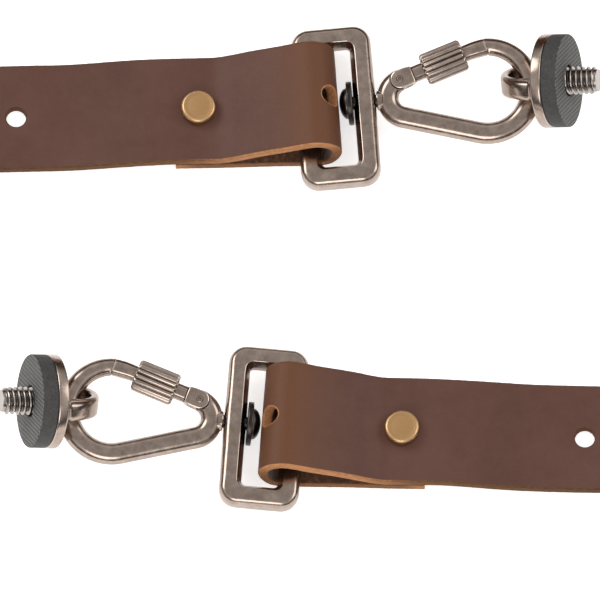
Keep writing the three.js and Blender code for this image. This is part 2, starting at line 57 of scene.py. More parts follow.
# Where the pieces of end a lie: each frame is a matrix from its own millimetres to the row's metres
def framePlace(origin, xAxis, zAxis):
    x = Vector(xAxis).normalized()
    y = Vector(zAxis).cross(x).normalized()
    axes = Matrix((x, y, x.cross(y))).transposed().to_4x4()
    return Matrix.Translation(Vector(origin)) @ axes @ Matrix.Scale(metre, 4)


def nodeCentre(node):
    low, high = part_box(node)
    return Vector(((low.x + high.x) / 2, (low.y + high.y) / 2, low.z))


mountPose = {
    "roll": 39,  # degrees, the eye's hole turned up from level
    "padFace": 6.1,  # disc's back to the pad's face
    "markPoint": (0.6, 7),  # where the record's point lies on that face
}

swivelAxis = Vector(joints["swivel_a"]["axis"]).normalized()
swivelPoint = Vector(joints["swivel_a"]["pos_m"])
hookUp = -Vector(joints["gate_open_a"]["axis"]).normalized()
rivetFoot = nodeCentre("rivet_a")

swivelOffset = 0.95  # from the middle of the loop's bar to the swivel, towards the gate
loopPlace = framePlace(swivelPoint, swivelAxis, swivelAxis.cross(up.cross(swivelAxis)))
loopPlace = loopPlace @ Matrix.Translation((0, -swivelOffset, 0))
hookPlace = framePlace(swivelPoint, swivelAxis, hookUp)
gatePlace = framePlace(joints["gate_open_a"]["pos_m"], joints["sleeve_slide_a"]["axis"], hookUp)
rivetPlace = Matrix.Translation(rivetFoot) @ Matrix.Scale(metre, 4)

mountAxis = Vector(mountPlaces["camera_face_a"]["axis"]).normalized()
levelY = up.cross(mountAxis).normalized()
levelZ = mountAxis.cross(levelY)
turn = math.radians(mountPose["roll"])
mountUp = levelZ * math.cos(turn) - levelY * math.sin(turn)
mountSide = mountUp.cross(mountAxis)
markY, markZ = mountPose["markPoint"]
mountOrigin = Vector(mountPlaces["camera_face_a"]["pos_m"])
mountOrigin -= (mountAxis * mountPose["padFace"] + mountSide * markY + mountUp * markZ) * metre
mountPlace = framePlace(mountOrigin, mountAxis, mountUp)

# End b is end a seen in a mirror, moved across the table
otherSwivel = Vector(joints["swivel_b"]["pos_m"])
toEndB = Matrix.Translation(Vector((swivelPoint.x + otherSwivel.x, otherSwivel.y - swivelPoint.y, 0)))
toEndB = toEndB @ Matrix.Scale(-1, 4, Vector((1, 0, 0)))
endPlaces = {"a": Matrix.Identity(4), "b": toEndB}


# Outlines and shapes; a shape is a list of points and a list of faces
def roundCorners(outline, radius, steps=3, closed=True):
    rounded = []
    count = len(outline)
    for i, point in enumerate(outline):
        corner = Vector(point)
        if not closed and i in (0, count - 1):
            rounded.append(corner)
            continue
        back = Vector(outline[i - 1]) - corner
        ahead = Vector(outline[(i + 1) % count]) - corner
        reach = min(radius, 0.48 * back.length, 0.48 * ahead.length)
        start = corner + back.normalized() * reach
        end = corner + ahead.normalized() * reach
        for k in range(steps + 1):
            share = k / steps
            rounded.append(start.lerp(corner, share).lerp(corner.lerp(end, share), share))
    return [tuple(point) for point in rounded]


def ringPoints(centre, side, rise, outline):
    return [centre + side * across + rise * height for across, height in outline]


def sweepShape(rings, closed=False):
    size = len(rings[0])
    points = [tuple(point) for ring in rings for point in ring]
    faces = []
    spans = len(rings) if closed else len(rings) - 1
    for i in range(spans):
        near = i * size
        far = ((i + 1) % len(rings)) * size
        for k in range(size):
            after = (k + 1) % size
            faces.append((near + k, near + after, far + after, far + k))
    if not closed:
        last = (len(rings) - 1) * size
        faces.append(tuple(reversed(range(size))))
        faces.append(tuple(range(last, last + size)))
    return points, faces


def turnedShape(profile, sides):
    points, rings, faces = [], [], []
    for radius, along in profile:
        if radius < 1e-6:
            rings.append([len(points)] * sides)
            points.append((along, 0, 0))
            continue
        rings.append(list(range(len(points), len(points) + sides)))
        for k in range(sides):
            angle = 2 * math.pi * k / sides
            points.append((along, radius * math.cos(angle), radius * math.sin(angle)))
    for near, far in zip(rings, rings[1:]):
        for k in range(sides):
            after = (k + 1) % sides
            corners = [near[k], near[after], far[after], far[k]]
            kept = [c for i, c in enumerate(corners) if c != corners[i - 1]]
            if len(kept) > 2:
                faces.append(tuple(kept))
    return points, faces


def movedShape(shape, matrix):
    points, faces = shape
    return [tuple(matrix @ Vector(point)) for point in points], faces


def shapeObject(name, shape):
    mesh = bpy.data.meshes.new(name)
    mesh.from_pydata([Vector(point) for point in shape[0]], [], shape[1])
    facesOut(mesh)
    obj = bpy.data.objects.new(name, mesh)
    bpy.context.scene.collection.objects.link(obj)
    return obj


def facesOut(mesh):
    work = bmesh.new()
    work.from_mesh(mesh)
    bmesh.ops.remove_doubles(work, verts=work.verts, dist=1e-7)
    bmesh.ops.recalc_face_normals(work, faces=work.faces)
    work.to_mesh(mesh)
    work.free()
    mesh.update()


# Joins or cuts closed shapes, then softens the new edges
def combinedShape(base, steps, softness=0, sharpest=38):
    body = shapeObject("work_body", base)
    helpers = [body]
    for operation, tool in steps:
        helper = shapeObject("work_tool", tool)
        helpers.append(helper)
        change = body.modifiers.new("change", "BOOLEAN")
        change.operation = operation
        change.solver = "EXACT"
        change.object = helper
    if softness:
        soften = body.modifiers.new("soften", "BEVEL")
        soften.width = softness
        soften.segments = 2
        soften.limit_method = "ANGLE"
        soften.angle_limit = math.radians(sharpest)
        soften.harden_normals = False
    bpy.context.view_layer.update()
    made = body.evaluated_get(bpy.context.evaluated_depsgraph_get()).to_mesh()
    points = [tuple(vertex.co) for vertex in made.vertices]
    faces = [tuple(face.vertices) for face in made.polygons]
    body.evaluated_get(bpy.context.evaluated_depsgraph_get()).to_mesh_clear()
    for helper in helpers:
        data = helper.data
        bpy.data.objects.remove(helper)
        bpy.data.meshes.remove(data)
    return points, faces


def storeValues(mesh, name, values):
    attribute = mesh.attributes.new(name, "FLOAT", "POINT")
    attribute.data.foreach_set("value", np.array(values, np.float32))


mostBend = 4  # per millimetre


# How sharply the surface bends at each point, per millimetre: over 0 on an edge, under 0 in a corner
def storeBend(mesh):
    count = len(mesh.vertices)
    places = np.zeros(count * 3)
    mesh.vertices.foreach_get("co", places)
    places = places.reshape(-1, 3) / metre
    normals = np.zeros(count * 3)
    mesh.vertices.foreach_get("normal", normals)
    normals = normals.reshape(-1, 3)
    ends = np.zeros(len(mesh.edges) * 2, int)
    mesh.edges.foreach_get("vertices", ends)
    first, second = ends.reshape(-1, 2).T
    apart = places[second] - places[first]
    bend = ((normals[second] - normals[first]) * apart).sum(1) / np.maximum((apart ** 2).sum(1), 1e-4)
    total = np.bincount(first, bend, count) + np.bincount(second, bend, count)
    number = np.bincount(first, minlength=count) + np.bincount(second, minlength=count)
    storeValues(mesh, "bend", np.clip(total / np.maximum(number, 1), -mostBend, mostBend))


# One finished piece, standing for its node and riding on its body
def addPiece(name, shape, place, body, materials, zones=None, sharp=40, own=None, fine=None):
    points, faces = shape
    mesh = bpy.data.meshes.new(name)
    mesh.from_pydata([place @ Vector(point) for point in points], [], faces)
    for material in materials:
        mesh.materials.append(material)
    if zones is not None:
        mesh.polygons.foreach_set("material_index", zones)
    local = np.array(own if own is not None else points, np.float32).reshape(-1, 3)
    mesh.attributes.new("ownPlace", "FLOAT_VECTOR", "POINT").data.foreach_set("vector", local.ravel())
    if fine is not None:
        storeValues(mesh, "stretch", fine)
    work = bmesh.new()
    work.from_mesh(mesh)
    bmesh.ops.recalc_face_normals(work, faces=work.faces)
    work.to_mesh(mesh)
    work.free()
    mesh.shade_smooth()
    mesh.set_sharp_from_angle(angle=math.radians(sharp))
    storeBend(mesh)
    obj = bpy.data.objects.new(name, mesh)
    bpy.context.scene.collection.objects.link(obj)
    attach(obj, body)
    return obj


# Materials
def newMaterial(name):
    material = bpy.data.materials.new(name)
    material.use_nodes = True
    tree = material.node_tree
    shader = tree.nodes["Principled BSDF"]
    return material, tree, shader, attributeNode(tree, "ownPlace")["Vector"]


def attributeNode(tree, name):
    node = tree.nodes.new("ShaderNodeAttribute")
    node.attribute_name = name
    return node.outputs


def noiseNode(tree, place, scale, detail=3, rough=0.5, stretch=None):
    if stretch:
        mapping = tree.nodes.new("ShaderNodeMapping")
        mapping.inputs["Scale"].default_value = stretch
        tree.links.new(place, mapping.inputs["Vector"])
        place = mapping.outputs["Vector"]
    texture = tree.nodes.new("ShaderNodeTexNoise")
    texture.inputs["Scale"].default_value = scale
    texture.inputs["Detail"].default_value = detail
    texture.inputs["Roughness"].default_value = rough
    tree.links.new(place, texture.inputs["Vector"])
    return texture.outputs["Fac"]


def rampNode(tree, value, stops):
    ramp = tree.nodes.new("ShaderNodeValToRGB")
    elements = ramp.color_ramp.elements
    while len(elements) < len(stops):
        elements.new(0.5)
    for element, (at, colour) in zip(elements, stops):
        element.position = at
        element.color = (*colour, 1) if len(colour) == 3 else colour
    tree.links.new(value, ramp.inputs["Fac"])
    return ramp.outputs["Color"]


def rangeNode(tree, value, low, high, newLow, newHigh):
    mapped = tree.nodes.new("ShaderNodeMapRange")
    for socket, number in zip(mapped.inputs[1:5], (low, high, newLow, newHigh)):
        socket.default_value = number
    tree.links.new(value, mapped.inputs["Value"])
    return mapped.outputs["Result"]


def mixNode(tree, share, first, second, blend="MIX"):
    mix = tree.nodes.new("ShaderNodeMix")
    mix.data_type = "RGBA"
    mix.blend_type = blend
    for name, value in (("Factor", share), ("A", first), ("B", second)):
        socket = mix.inputs[name]
        if isinstance(value, bpy.types.NodeSocket):
            tree.links.new(value, socket)
        elif isinstance(value, (int, float)):
            socket.default_value = value
        else:
            socket.default_value = (*value, 1)
    return mix.outputs["Result"]


def mathNode(tree, operation, first, second=0.0):
    node = tree.nodes.new("ShaderNodeMath")
    node.operation = operation
    for socket, value in zip(node.inputs, (first, second)):
        if isinstance(value, bpy.types.NodeSocket):
            tree.links.new(value, socket)
        else:
            socket.default_value = value
    return node.outputs["Value"]


def bumpNode(tree, height, strength, distance, before=None):
    bump = tree.nodes.new("ShaderNodeBump")
    bump.inputs["Strength"].default_value = strength
    bump.inputs["Distance"].default_value = distance * metre
    tree.links.new(height, bump.inputs["Height"])
    if before:
        tree.links.new(before, bump.inputs["Normal"])
    return bump.outputs["Normal"]


# Goes over to another colour, by up to most, where a value rises from low to high
def tintNode(tree, colour, tint, value, low, high, most):
    return mixNode(tree, rangeNode(tree, value, low, high, 0, most), colour, tint)


def grainMaterial():
    material, tree, shader, place = newMaterial("leather_grain")
    stretch = attributeNode(tree, "stretch")["Fac"]
    broad = noiseNode(tree, place, 0.05, 4, 0.55)
    blotch = noiseNode(tree, place, 0.35, 3, 0.6)
    colour = rampNode(tree, broad, [(0.3, (0.083, 0.033, 0.022)), (0.7, (0.108, 0.046, 0.032))])
    colour = tintNode(tree, colour, (0.122, 0.056, 0.040), blotch, 0.35, 0.7, 0.3)
    # painted highlight, with the lighter warmer tone of stretched leather: the fold's crest mixed towards a warm
    # brown
    colour = mixNode(tree, stretch, colour, (0.125, 0.047, 0.020))
    cells = tree.nodes.new("ShaderNodeTexVoronoi")
    cells.inputs["Scale"].default_value = 1.9
    tree.links.new(place, cells.inputs["Vector"])
    pores = noiseNode(tree, place, 2.6, 4, 0.6)
    softCells = mathNode(tree, "MULTIPLY", cells.outputs["Distance"], 0.7)
    grain = mathNode(tree, "ADD", softCells, pores)
    creases = noiseNode(tree, place, 0.5, 5, 0.65, (0.5, 1.3, 1))
    speck = tintNode(tree, colour, (0.040, 0.017, 0.011), pores, 0.58, 0.72, 0.35)
    tree.links.new(speck, shader.inputs["Base Color"])
    tree.links.new(rangeNode(tree, pores, 0.3, 0.7, 0.48, 0.64), shader.inputs["Roughness"])
    shader.inputs["Specular IOR Level"].default_value = 0.3
    first = bumpNode(tree, creases, 0.35, 0.12)
    tree.links.new(bumpNode(tree, grain, 0.45, 0.05, first), shader.inputs["Normal"])
    return material


def edgeMaterial():
    material, tree, shader, place = newMaterial("leather_raw_edge")
    fibres = noiseNode(tree, place, 1.4, 6, 0.7, (0.6, 1, 3.2))
    flecks = noiseNode(tree, place, 3.5, 3, 0.6)
    colour = rampNode(tree, fibres, [
        (0.25, (0.300, 0.115, 0.042)), (0.5, (0.520, 0.235, 0.100)), (0.75, (0.680, 0.350, 0.170))])
    colour = tintNode(tree, colour, (0.150, 0.060, 0.026), flecks, 0.6, 0.72, 0.6)
    # painted light and shade: the raw edge's colour multiplied by a lightness stored along the strap
    edgeLighting = attributeNode(tree, "edgeLightShade")["Color"]
    colour = mixNode(tree, 1.0, colour, edgeLighting, "MULTIPLY")
    tree.links.new(colour, shader.inputs["Base Color"])
    shader.inputs["Roughness"].default_value = 0.85
    shader.inputs["Specular IOR Level"].default_value = 0.2
    tree.links.new(bumpNode(tree, fibres, 0.9, 0.15), shader.inputs["Normal"])
    return material


def fleshMaterial():
    material, tree, shader, place = newMaterial("leather_flesh_side")
    nap = noiseNode(tree, place, 1.1, 7, 0.75)
    tufts = noiseNode(tree, place, 0.3, 5, 0.7)
    colour = rampNode(tree, nap, [
        (0.3, (0.045, 0.019, 0.010)), (0.5, (0.130, 0.055, 0.026)), (0.72, (0.330, 0.150, 0.066))])
    colour = tintNode(tree, colour, (0.090, 0.040, 0.022), tufts, 0.35, 0.7, 0.5)
    tree.links.new(colour, shader.inputs["Base Color"])
    shader.inputs["Roughness"].default_value = 0.95
    shader.inputs["Specular IOR Level"].default_value = 0.1
    shader.inputs["Sheen Weight"].default_value = 0.35
    tree.links.new(bumpNode(tree, nap, 1.0, 0.4), shader.inputs["Normal"])
    return material


def metalMaterial(name, look):
    material, tree, shader, place = newMaterial(name)
    bend = attributeNode(tree, "bend")["Fac"]
    cloud = noiseNode(tree, place, look["cloudScale"], 5, 0.65)
    fine = noiseNode(tree, place, 7, 4, 0.6)
    colour = rampNode(tree, cloud, [(0.3, look["deep"]), (0.7, look["colour"])])
    # painted highlight: convex edges tinted towards the look's bright colour
    colour = tintNode(tree, colour, look["bright"], bend, 0.5, 2.4, look["edgeHighlight"])
    # painted shade: hollows and inner corners tinted towards a near-black colour
    colour = tintNode(tree, colour, look["hollowShade"], bend, -0.3, -1.6, 0.75)
    tree.links.new(colour, shader.inputs["Base Color"])
    shader.inputs["Metallic"].default_value = 1
    low, high = look["roughness"]
    tree.links.new(rangeNode(tree, cloud, 0.3, 0.7, low, high), shader.inputs["Roughness"])
    first = bumpNode(tree, cloud, look["waviness"], 0.05)
    tree.links.new(bumpNode(tree, fine, look["fineness"], 0.01, first), shader.inputs["Normal"])
    return material


# Turned brass: fine rings round its own axis, with painted shade in the corners and a painted highlight on the rim
def brassMaterial():
    material, tree, shader, place = newMaterial("antique_brass")
    split = tree.nodes.new("ShaderNodeSeparateXYZ")
    tree.links.new(place, split.inputs["Vector"])
    square = mathNode(tree, "ADD",
                      mathNode(tree, "POWER", split.outputs["Y"], 2.0),
                      mathNode(tree, "POWER", split.outputs["Z"], 2.0))
    radius = mathNode(tree, "SQRT", square)
    line = tree.nodes.new("ShaderNodeTexNoise")
    line.noise_dimensions = "1D"
    line.inputs["Scale"].default_value = 9
    line.inputs["Detail"].default_value = 5
    tree.links.new(radius, line.inputs["W"])
    cloud = noiseNode(tree, place, 0.9, 4, 0.6)
    rings = line.outputs["Fac"]
    colour = rampNode(tree, rings, [(0.3, (0.400, 0.230, 0.102)), (0.7, (0.600, 0.370, 0.180))])
    colour = tintNode(tree, colour, (0.400, 0.220, 0.095), cloud, 0.4, 0.7, 0.45)
    bend = attributeNode(tree, "bend")["Fac"]
    # painted highlight: the convex rim tinted towards pale brass
    colour = tintNode(tree, colour, (0.860, 0.640, 0.360), bend, 0.4, 1.6, 0.7)
    # painted shade: the inner corners tinted towards near-black
    colour = tintNode(tree, colour, (0.090, 0.055, 0.022), bend, -0.2, -1, 0.7)
    tree.links.new(colour, shader.inputs["Base Color"])
    shader.inputs["Metallic"].default_value = 1
    tree.links.new(rangeNode(tree, cloud, 0.3, 0.7, 0.34, 0.46), shader.inputs["Roughness"])
    tree.links.new(bumpNode(tree, rings, 0.35, 0.02), shader.inputs["Normal"])
    return material


# Moulded rubber: a fine square grid on the face that meets the camera, plain round its side
gridPitch = 0.9
gridStart, gridFull = 5.85, 6.0  # between these, out from the disc's back, the grid comes in


def rubberMaterial():
    material, tree, shader, place = newMaterial("pad_rubber")
    split = tree.nodes.new("ShaderNodeSeparateXYZ")
    tree.links.new(place, split.inputs["Vector"])
    waves = []
    for axis in ("Y", "Z"):
        phase = mathNode(tree, "MULTIPLY", split.outputs[axis], 2 * math.pi / gridPitch)
        waves.append(mathNode(tree, "SINE", phase))
    grid = mathNode(tree, "MAXIMUM", *waves)
    onFace = rangeNode(tree, split.outputs["X"], gridStart, gridFull, 0, 1)
    grid = mathNode(tree, "MULTIPLY", grid, onFace)
    dust = noiseNode(tree, place, 1.6, 5, 0.65)
    colour = rampNode(tree, dust, [(0.3, (0.034, 0.033, 0.031)), (0.75, (0.070, 0.068, 0.064))])
    colour = tintNode(tree, colour, (0.215, 0.212, 0.200), grid, 0.55, 1.0, 0.8)
    tree.links.new(colour, shader.inputs["Base Color"])
    shader.inputs["Roughness"].default_value = 0.72
    shader.inputs["Specular IOR Level"].default_value = 0.35
    first = bumpNode(tree, grid, 0.8, 0.09)
    tree.links.new(bumpNode(tree, dust, 0.3, 0.06, first), shader.inputs["Normal"])
    return material


# In each look, bright and its share give the painted highlight on convex edges, and the near-black colour the
# painted shade in hollows
metalLooks = {
    "gunmetal": {
        "colour": (0.405, 0.325, 0.275), "deep": (0.270, 0.212, 0.178), "bright": (0.660, 0.560, 0.490),
        "hollowShade": (0.045, 0.034, 0.028), "roughness": (0.17, 0.27), "edgeHighlight": 0.6,
        "cloudScale": 0.5, "waviness": 0.25, "fineness": 0.12,
    },
    "dark_metal": {
        "colour": (0.042, 0.036, 0.033), "deep": (0.022, 0.019, 0.018), "bright": (0.210, 0.185, 0.170),
        "hollowShade": (0.008, 0.007, 0.007), "roughness": (0.26, 0.38), "edgeHighlight": 0.55,
        "cloudScale": 0.8, "waviness": 0.2, "fineness": 0.15,
    },
    "bright_nickel": {
        "colour": (0.330, 0.290, 0.265), "deep": (0.240, 0.208, 0.188), "bright": (0.600, 0.545, 0.505),
        "hollowShade": (0.035, 0.028, 0.024), "roughness": (0.20, 0.30), "edgeHighlight": 0.6,
        "cloudScale": 1.2, "waviness": 0.15, "fineness": 0.15,
    },
}

grain = grainMaterial()
rawEdge = edgeMaterial()
flesh = fleshMaterial()
brass = brassMaterial()
rubber = rubberMaterial()
gunmetal = metalMaterial("gunmetal", metalLooks["gunmetal"])
darkMetal = metalMaterial("dark_metal", metalLooks["dark_metal"])
nickel = metalMaterial("bright_nickel", metalLooks["bright_nickel"])
print("materials made")


# The leather strap, in millimetres from the foot of rivet a
strap = {
    "width": 25, "thickness": 2.3, "layerGap": 0.25, "lapLength": 5.4,
    "foldReach": 31.42, "foldHeight": 13.7, "easeLength": 33, "yaw": 1.3, "foldSkew": 3,
    "twistStart": 46, "twistLength": 90, "nearTurnRadius": 26,
    "holeRadius": 2.25, "holeOffset": 41.2, "foldHoleShare": 0.31, "rivetHoleRadius": 1.8,
    "edgeRound": 0.4, "holeRound": 0.3, "topColumns": 20, "sideSteps": 5,
    "fineStep": 0.5, "coarseStep": 1.6, "holeBlock": 4, "holeRings": 4, "wallSteps": 4, "roundSteps": 3,
    "edgeRoughness": 0.07, "roughLength": 0.9, "roughRise": 1.4, "roughSeed": 9,
    "edgeWander": 0.12, "wanderLength": 14, "wanderSeed": 3,
    "surfaceWave": 0.08, "waveLength": 9, "waveWidth": 7, "waveSeed": 4.0,
    "crestShift": 3, "crestSpread": 9, "crestGain": 1.1,  # where the fold's crest is lighter and warmer: stretched leather, with a painted highlight
}
lineSteps = {
    "curve": 60, "fold": 260, "lap": 60, "lapEnd": 12, "ease": 50, "flat": 14,
    "twist": 90, "nearTurn": 80, "run": 150, "farTurn": 150,
}

# The fold seen from the side: reach is a share of the way from the rivet to the fold's end,
# rise a share of the fold's own height, first up the front and then back down to the rivet
foldFront = [
    {"reach": 0.86, "rise": 0}, {"reach": 0.93, "rise": 0.08}, {"reach": 0.972, "rise": 0.25},
    {"reach": 0.995, "rise": 0.45}, {"reach": 1, "rise": 0.6}, {"reach": 0.985, "rise": 0.76},
    {"reach": 0.94, "rise": 0.92}, {"reach": 0.885, "rise": 0.99}, {"reach": 0.84, "rise": 1},
]
foldBack = [
    {"reach": 0.76, "rise": 0.91}, {"reach": 0.655, "rise": 0.74}, {"reach": 0.5, "rise": 0.53},
    {"reach": 0.37, "rise": 0.34}, {"reach": 0.25, "rise": 0.14}, {"reach": 0.14, "rise": 0.01},
]
layeredCentre = 1.5 * strap["thickness"] + strap["layerGap"]
strapYaw = math.radians(strap["yaw"])


# A smooth line through chosen points, even along its length
def smoothLine(points, count):
    chain = [2 * points[0] - points[1], *points, 2 * points[-1] - points[-2]]
    fine = []
    for p0, p1, p2, p3 in zip(chain, chain[1:], chain[2:], chain[3:]):
        gaps = [max(math.sqrt(np.linalg.norm(b - a)), 1e-4) for a, b in ((p0, p1), (p1, p2), (p2, p3))]
        slopeIn = (p1 - p0) / gaps[0] - (p2 - p0) / (gaps[0] + gaps[1]) + (p2 - p1) / gaps[1]
        slopeOut = (p2 - p1) / gaps[1] - (p3 - p1) / (gaps[1] + gaps[2]) + (p3 - p2) / gaps[2]
        slopeIn, slopeOut = slopeIn * gaps[1], slopeOut * gaps[1]
        for share in np.linspace(0, 1, lineSteps["curve"], endpoint=False):
            square, cube = share ** 2, share ** 3
            fine.append(p1 * (2 * cube - 3 * square + 1) + slopeIn * (cube - 2 * square + share)
                        + p2 * (3 * square - 2 * cube) + slopeOut * (cube - square))
    fine = np.array([*fine, points[-1]])
    far = np.concatenate([[0], np.cumsum(np.linalg.norm(np.diff(fine, axis=0), axis=1))])
    even = np.linspace(0, far[-1], count)
    return np.column_stack([np.interp(even, far, fine[:, k]) for k in range(fine.shape[1])]), far[-1]


def foldLine(count):
    half = strap["thickness"] / 2
    top = strap["foldHeight"] - half
    length = strap["foldReach"] - half

    def side(rows, low):
        return [np.array((row["reach"] * length, low + row["rise"] * (top - low))) for row in rows]

    front, back = side(foldFront, half), side(foldBack, layeredCentre)
    start = front[0] - np.array((strap["thickness"], 0))
    return smoothLine([start, *front, *back, np.array((0, layeredCentre))], count)


# Middle line of one folded end as rows of x, height, slope x, slope height
def endProfile():
    half = strap["thickness"] / 2
    line, lineLength = foldLine(lineSteps["fold"])
    lap = np.linspace(-strap["lapLength"], line[0][0], lineSteps["lap"], endpoint=False)
    rows = [(x, half, 1, 0) for x in lap]
    slopes = np.gradient(line, axis=0)
    slopes /= np.linalg.norm(slopes, axis=1)[:, None]
    rows += [(x, z, sx, sz) for (x, z), (sx, sz) in zip(line, slopes)]
    lapEnd = np.linspace(0, -strap["lapLength"], lineSteps["lapEnd"])[1:]
    rows += [(x, layeredCentre, -1, 0) for x in lapEnd]
    ease = strap["easeLength"] - strap["lapLength"]
    fall = layeredCentre - half
    for share in np.linspace(0, 1, lineSteps["ease"])[1:]:
        slope = 6 * share * (1 - share) * fall / ease
        size = math.hypot(1, slope)
        drop = share * share * (3 - 2 * share)
        x = -strap["lapLength"] - share * ease
        rows.append((x, layeredCentre - drop * fall, -1 / size, -slope / size))
    flat = np.linspace(-strap["easeLength"], -strap["twistStart"], lineSteps["flat"])[1:]
    rows += [(x, half, -1, 0) for x in flat]
    holeAt = strap["lapLength"] + line[0][0] + strap["foldHoleShare"] * lineLength
    return rows, holeAt, strap["lapLength"] + line[0][0] + lineLength


otherRivet = (nodeCentre("rivet_b") - rivetFoot) / metre
rivetSpots = {"a": Vector((0, 0, 0)), "b": Vector((otherRivet.x, otherRivet.y, 0))}


# Stations along the strap: centre, width direction, thickness direction towards the grain side
def endStations(end):
    hand = 1 if end == "a" else -1
    outward = Vector((hand * math.cos(strapYaw), math.sin(strapYaw), 0))
    stations = []
    for x, z, slopeX, slopeZ in endProfile()[0]:
        skew = hand * math.radians(strap["foldSkew"]) * max(0, x) / strap["foldReach"]
        along = Matrix.Rotation(skew, 3, "Z") @ outward
        towards = up * -slopeX + outward * slopeZ
        centre = rivetSpots[end] + outward * x + up * z
        stations.append((centre, up.cross(along) * -hand, towards))
    return stations


def hiddenStations():
    straight = strap["twistStart"] + strap["twistLength"]
    leave = Vector((-math.cos(strapYaw), -math.sin(strapYaw), 0))
    arrive = Vector((-math.cos(strapYaw), math.sin(strapYaw), 0))
    across = rivetSpots["a"].y - rivetSpots["b"].y
    farRadius = strap["nearTurnRadius"] + across / (1 + math.cos(strapYaw))
    wholeTurn = math.pi + strapYaw
    stations = []

    def addStation(spot, heading, tilt):
        left = up.cross(heading)
        towards = up * math.cos(tilt) + left * math.sin(tilt)
        width = left * math.cos(tilt) - up * math.sin(tilt)
        height = strap["width"] / 2 * math.sin(tilt) + strap["thickness"] / 2 * math.cos(tilt)
        stations.append((Vector((spot.x, spot.y, height)), width, towards))

    def addTwist(rivet, heading, direction):
        for share in np.linspace(0, 1, lineSteps["twist"] + 1)[1:]:
            here = share if direction > 0 else 1 - share
            eased = here * here * (3 - 2 * here)
            distance = direction * (strap["twistStart"] + here * strap["twistLength"])
            addStation(rivet + heading * distance, heading, eased * math.pi / 2)

    def addTurn(centre, radius, heading, steps):
        for i in range(1, steps + 1):
            now = Matrix.Rotation(-wholeTurn * i / steps, 3, "Z") @ heading
            addStation(centre + up.cross(now) * radius, now, math.pi / 2)

    addTwist(rivetSpots["a"], leave, 1)
    nearEnd = rivetSpots["a"] + leave * straight
    nearCentre = nearEnd - up.cross(leave) * strap["nearTurnRadius"]
    addTurn(nearCentre, strap["nearTurnRadius"], leave, lineSteps["nearTurn"])
    farCentre = rivetSpots["b"] - arrive * straight - up.cross(arrive) * farRadius
    eastward = Vector((1, 0, 0))
    runStart = stations[-1][0]
    runEnd = farCentre + Vector((0, farRadius, 0))
    for share in np.linspace(0, 1, lineSteps["run"])[1:]:
        addStation(runStart.lerp(runEnd, share), eastward, math.pi / 2)
    addTurn(farCentre, farRadius, eastward, lineSteps["farTurn"])
    addTwist(rivetSpots["b"], arrive, -1)
    return stations


stations = [*endStations("a"), *hiddenStations(), *reversed(endStations("b"))]
centres = np.array([station[0] for station in stations])
widths = np.array([station[1] for station in stations])
towards = np.array([station[2] for station in stations])
travel = np.concatenate([[0], np.cumsum(np.linalg.norm(np.diff(centres, axis=0), axis=1))])
strapLength = travel[-1]


# A point of the strap from its place in the flat leather: along, across, and above its middle
def leatherPoint(along, across, above):
    def at(table):
        return np.array([np.interp(along, travel, table[:, k]) for k in range(3)])
    width, rise = at(widths), at(towards)
    rise /= np.linalg.norm(rise)
    wave = 0
    if above > 0:  # the grain side alone is a little wavy
        spot = (along / strap["waveLength"], across / strap["waveWidth"], strap["waveSeed"])
        wave = strap["surfaceWave"] * noise.noise(spot)
    return at(centres) + width * across + rise * (above + wave)


# Outline across the strap: place across, place above the middle, and the finish of the face that follows
def leatherSection():
    halfWidth = strap["width"] / 2
    half = strap["thickness"] / 2
    bend = strap["edgeRound"]
    flat = halfWidth - bend
    columns = strap["topColumns"]
    section = [(flat - 2 * flat * k / columns, half, 0) for k in range(columns + 1)]
    for k in range(1, strap["roundSteps"] + 1):
        angle = k / strap["roundSteps"] * math.pi / 2
        across = -flat - bend * math.sin(angle)
        section.append((across, half - bend * (1 - math.cos(angle)), 0 if k < 2 else 1))
    for k in range(1, strap["sideSteps"]):
        section.append((-halfWidth, half - bend - 2 * (half - bend) * k / strap["sideSteps"], 1))
    for k in range(strap["roundSteps"]):
        angle = k / strap["roundSteps"] * math.pi / 2
        section.append((-flat - bend * math.cos(angle), bend - half - bend * math.sin(angle), 1))
    section += [(-across, -above, 2) for across, above, _ in section[:columns + 1]]
    nearSide = section[columns + 1:len(section) - columns - 1]
    section += [(-across, above, 1) for across, above, _ in reversed(nearSide)]
    return section


